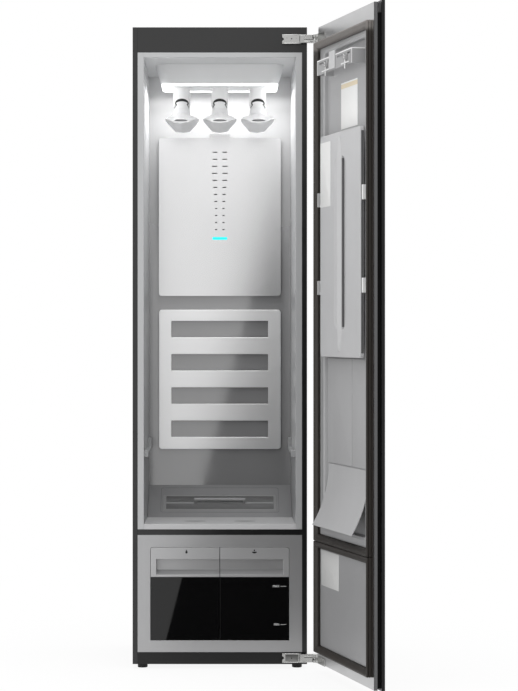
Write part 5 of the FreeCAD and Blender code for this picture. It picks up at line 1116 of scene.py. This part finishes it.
class CABINET_OT_hinges(bpy.types.Operator):
    """Round the hinge arms and brackets, and add bright strips as painted highlights, dark patches as the
    painted shade of their slots, holes and screw dimple, and a darker plate as a painted reflection
    """
    bl_idname = "cabinet.hinges"
    bl_label = "Hinges"

    def execute(self, context):
        softened("hinge_arms", "sheet_edge")
        softened("hinge_brackets", "sheet_edge")
        low, high, _ = span("hinge_arms")
        box = low[0]
        # each hinge's middle, and which way is up: the lower one is turned over
        hinges = ((low[2] + 15, -1), (high[2] - 15, 1))
        # distance along the hinge, up and out of the front plane, and half the length and the height
        # bright strips along the hinges' edges and faces: painted highlights
        highlight_rows = ((29, 13.7, 10, 22, 1.1), (29, -13.7, 10, 22, 1.1), (68, 11.6, 18, 8, 1.2),
                    (84, -8, 18, 14, 1.4), (103.4, 2, 18, 2.2, 9))
        # dark patches where the hinges' slots, holes and screw dimple lie: painted shade
        slot_rows = ((30, 1, 10, 2.0, 2.2), (56, 0, 18, 0.9, 10), (98.6, 6.5, 18, 2.0, 5.6),
                     (84, -3.4, 18, 14, 0.9), (15, 3, 10, 0.9, 0.7), (45, 3, 10, 0.9, 0.7))
        rims = [slab(on_front, (box + x, z + way * up), (long, tall), (out - 0.2, out + 0.7), 1.0, 0.3)
                for z, way in hinges for x, up, out, long, tall in highlight_rows]
        slots = [slab(on_front, (box + x, z + way * up), (long, tall), (out - 0.2, out + 0.25),
                      min(long, tall) * 0.9, 0.1)
                 for z, way in hinges for x, up, out, long, tall in slot_rows]
        # a darker plate laid on the face of the lower hinge's box: a painted dark reflection
        recess = slab(on_front, (box + 31, low[2] + 15), (21, 11.6), (9.8, 10.15), 2, 0.1)
        plated = dict(metal=1, grain=300, depth=0.004)
        added("hinge_rims", rims, "cabinet", "bright_steel",
              finish("Bright rim", (0.80, 0.80, 0.79), 0.2, **plated))
        added("hinge_slots", slots, "cabinet", "bright_steel",
              finish("Slot shade", (0.02, 0.02, 0.02), 0.5, grain=900))
        added("hinge_box_recess", [recess], "cabinet", "bright_steel",
              finish("Worn plating", (0.24, 0.24, 0.235), 0.32, **plated))
        return {"FINISHED"}


# ---- stage ----
def stage_sheet(name, points, material):
    """A flat sheet of the stage from a grid of points, in metres."""
    points, faces = skin(points, wrap_columns=False)
    mesh = bpy.data.meshes.new(name)
    mesh.from_pydata(points.tolist(), [], faces)
    made = placed(name, mesh)
    mesh.materials.append(material)
    return made


def unseen_share(tree):
    """The share of rays that should meet the plain background: camera, glossy and transmission rays."""
    path = add(tree, "LightPath").outputs
    either = add(tree, "Math", operation="MAXIMUM")
    through = add(tree, "Math", operation="MAXIMUM")
    wire(tree, (path["Is Camera Ray"], either.inputs[0]), (path["Is Glossy Ray"], either.inputs[1]),
         (either.outputs[0], through.inputs[0]), (path["Is Transmission Ray"], through.inputs[1]))
    return through.outputs[0]


def floor_material():
    """A pale floor that shows as the white background and keeps the object's shadow near it."""
    material = plain_material("Pale floor", {"Base Color": (0.9, 0.9, 0.9, 1.0), "Roughness": 0.9,
                                             "Specular IOR Level": 0.0})
    tree = material.node_tree
    glow = add(tree, "Emission", {"Color": (1.0, 1.0, 1.0, 1.0)})
    away = add(tree, "VectorMath", operation="LENGTH")
    fade = add(tree, "MapRange", {"From Min": 0.6, "From Max": 2.6, "To Min": 0.90, "To Max": 1.0},
               interpolation_type="SMOOTHSTEP")
    share = add(tree, "Math", operation="MULTIPLY")
    mix = add(tree, "MixShader")
    wire(tree, (add(tree, "TexCoord").outputs["Object"], away.inputs[0]),
         (away.outputs["Value"], fade.inputs["Value"]), (fade.outputs["Result"], share.inputs[0]),
         (unseen_share(tree), share.inputs[1]), (share.outputs[0], mix.inputs["Fac"]),
         (tree.nodes["Principled BSDF"].outputs[0], mix.inputs[1]), (glow.outputs[0], mix.inputs[2]),
         (mix.outputs[0], tree.nodes["Material Output"].inputs["Surface"]))
    return material


def lamp(name, place, aim, size, power, in_gloss=True):
    """A rectangular lamp of a size in metres, unseen by the camera."""
    data = bpy.data.lights.new(name, "AREA")
    data.shape = "RECTANGLE"
    data.size, data.size_y = size
    data.energy = power
    made = placed(name, data)
    made.location = place
    made.rotation_euler = (Vector(aim) - Vector(place)).to_track_quat("-Z", "Y").to_euler()
    made.visible_camera = False
    made.visible_glossy = in_gloss
    return made


class CABINET_OT_stage(bpy.types.Operator):
    """Set the floor, the black card, the lights and the camera"""
    bl_idname = "cabinet.stage"
    bl_label = "Stage"

    def execute(self, context):
        scene = context.scene
        scene.view_settings.view_transform = "Standard"
        self.sky(scene)

        side = np.linspace(-14.0, 14.0, 24)
        x, y = np.meshgrid(side, side, indexing="ij")
        stage_sheet("stage_floor", upright(x, y, 0.0), floor_material())

        # black card: upright in front of the door side, its left edge leaning to the right as it rises
        z = np.linspace(0.0, 2.2, 12)[:, None]
        left = -0.19 + 0.257 * z
        right = 3.0
        card = stage_sheet("stage_card", upright(left + (right - left) * np.linspace(0.0, 1.0, 12), -0.9, z),
                           plain_material("Black card", {"Base Color": (0.002, 0.002, 0.002, 1.0),
                                                         "Roughness": 1.0, "Specular IOR Level": 0.0}))
        for ray in ("camera", "diffuse", "shadow", "transmission"):
            setattr(card, "visible_" + ray, False)

        lamp("top", (0.2, -1.0, 4.2), (0.0, -0.2, 1.2), (3.0, 3.0), scene.cabinet_stage.top)
        # the lit frame's own light on the lining, where it would burn out the pieces that hang just under it
        under = (span("ceiling_light_frame")[0][2] - 2) * MM
        down = lamp("cavity", (0.0, 0.0, under), (0.0, 0.0, 0.0), (0.42, 0.23), scene.cabinet_stage.cavity,
                    in_gloss=False)
        lining = bpy.data.collections.new("Lining")
        lining.objects.link(frame["nodes"]["upper_back_panel"])
        for node in ("liner_back_wall", "liner_left_wall", "liner_right_wall", "lower_back_panel",
                     "floor_tray"):
            lining.objects.link(bpy.data.objects[node + "_shape"])
        down.light_linking.receiver_collection = lining
        down.light_linking.blocker_collection = lining

        # the camera looks straight back, and its picture is shifted instead of turned
        camera = bpy.data.cameras.new("Camera")
        camera.sensor_fit = "VERTICAL"
        camera.sensor_height = 36.0
        camera.lens = 120.09
        camera.shift_x = 0.0567
        camera.shift_y = -0.0203
        camera.clip_end = 100.0
        scene.camera = placed("Camera", camera)
        scene.camera.location = (0.0, -7.68, 1.0834)
        scene.camera.rotation_euler = (math.pi / 2, 0.0, 0.0)
        return {"FINISHED"}

    def sky(self, scene):
        """Even light from all round, behind a white background."""
        scene.world = bpy.data.worlds.new("Sky")
        scene.world.use_nodes = True
        tree = scene.world.node_tree
        shade = tree.nodes["Background"]
        shade.inputs["Color"].default_value = (1.0, 1.0, 1.0, 1.0)
        shade.inputs["Strength"].default_value = scene.cabinet_stage.sky
        seen = add(tree, "Background", {"Color": (1.0, 1.0, 1.0, 1.0), "Strength": 1.0})
        mix = add(tree, "MixShader")
        wire(tree, (unseen_share(tree), mix.inputs["Fac"]), (shade.outputs[0], mix.inputs[1]),
             (seen.outputs[0], mix.inputs[2]), (mix.outputs[0], tree.nodes["World Output"].inputs["Surface"]))


class CABINET_PT_panel(bpy.types.Panel):
    """Pieces of the cabinet"""
    bl_label = "Steam Cabinet"
    bl_idname = "CABINET_PT_panel"
    bl_space_type = "VIEW_3D"
    bl_region_type = "UI"
    bl_category = "Steam Cabinet"

    def draw(self, context):
        for step in STEPS:
            self.layout.operator(step.bl_idname)


STEPS = (CABINET_OT_finishes, CABINET_OT_feet, CABINET_OT_body, CABINET_OT_cavity, CABINET_OT_ceiling_unit,
         CABINET_OT_nozzles, CABINET_OT_hangers, CABINET_OT_tanks, CABINET_OT_door_shell, CABINET_OT_gaskets,
         CABINET_OT_door_liners, CABINET_OT_drip_guide, CABINET_OT_press, CABINET_OT_holder,
         CABINET_OT_labels, CABINET_OT_hinges, CABINET_OT_stage)
SETTINGS = (("cabinet_sizes", CabinetSizes), ("cabinet_finishes", CabinetFinishes),
            ("cabinet_stage", CabinetStage))


def register():
    for name, group in SETTINGS:
        bpy.utils.register_class(group)
        setattr(bpy.types.Scene, name, bpy.props.PointerProperty(type=group))
    for step in STEPS:
        bpy.utils.register_class(step)
    bpy.utils.register_class(CABINET_PT_panel)


def unregister():
    bpy.utils.unregister_class(CABINET_PT_panel)
    for step in reversed(STEPS):
        bpy.utils.unregister_class(step)
    for name, group in reversed(SETTINGS):
        delattr(bpy.types.Scene, name)
        bpy.utils.unregister_class(group)


def main():
    register()
    for step in STEPS:
        group, name = step.bl_idname.split(".")
        getattr(getattr(bpy.ops, group), name)()


if __name__ == "__main__":
    main()
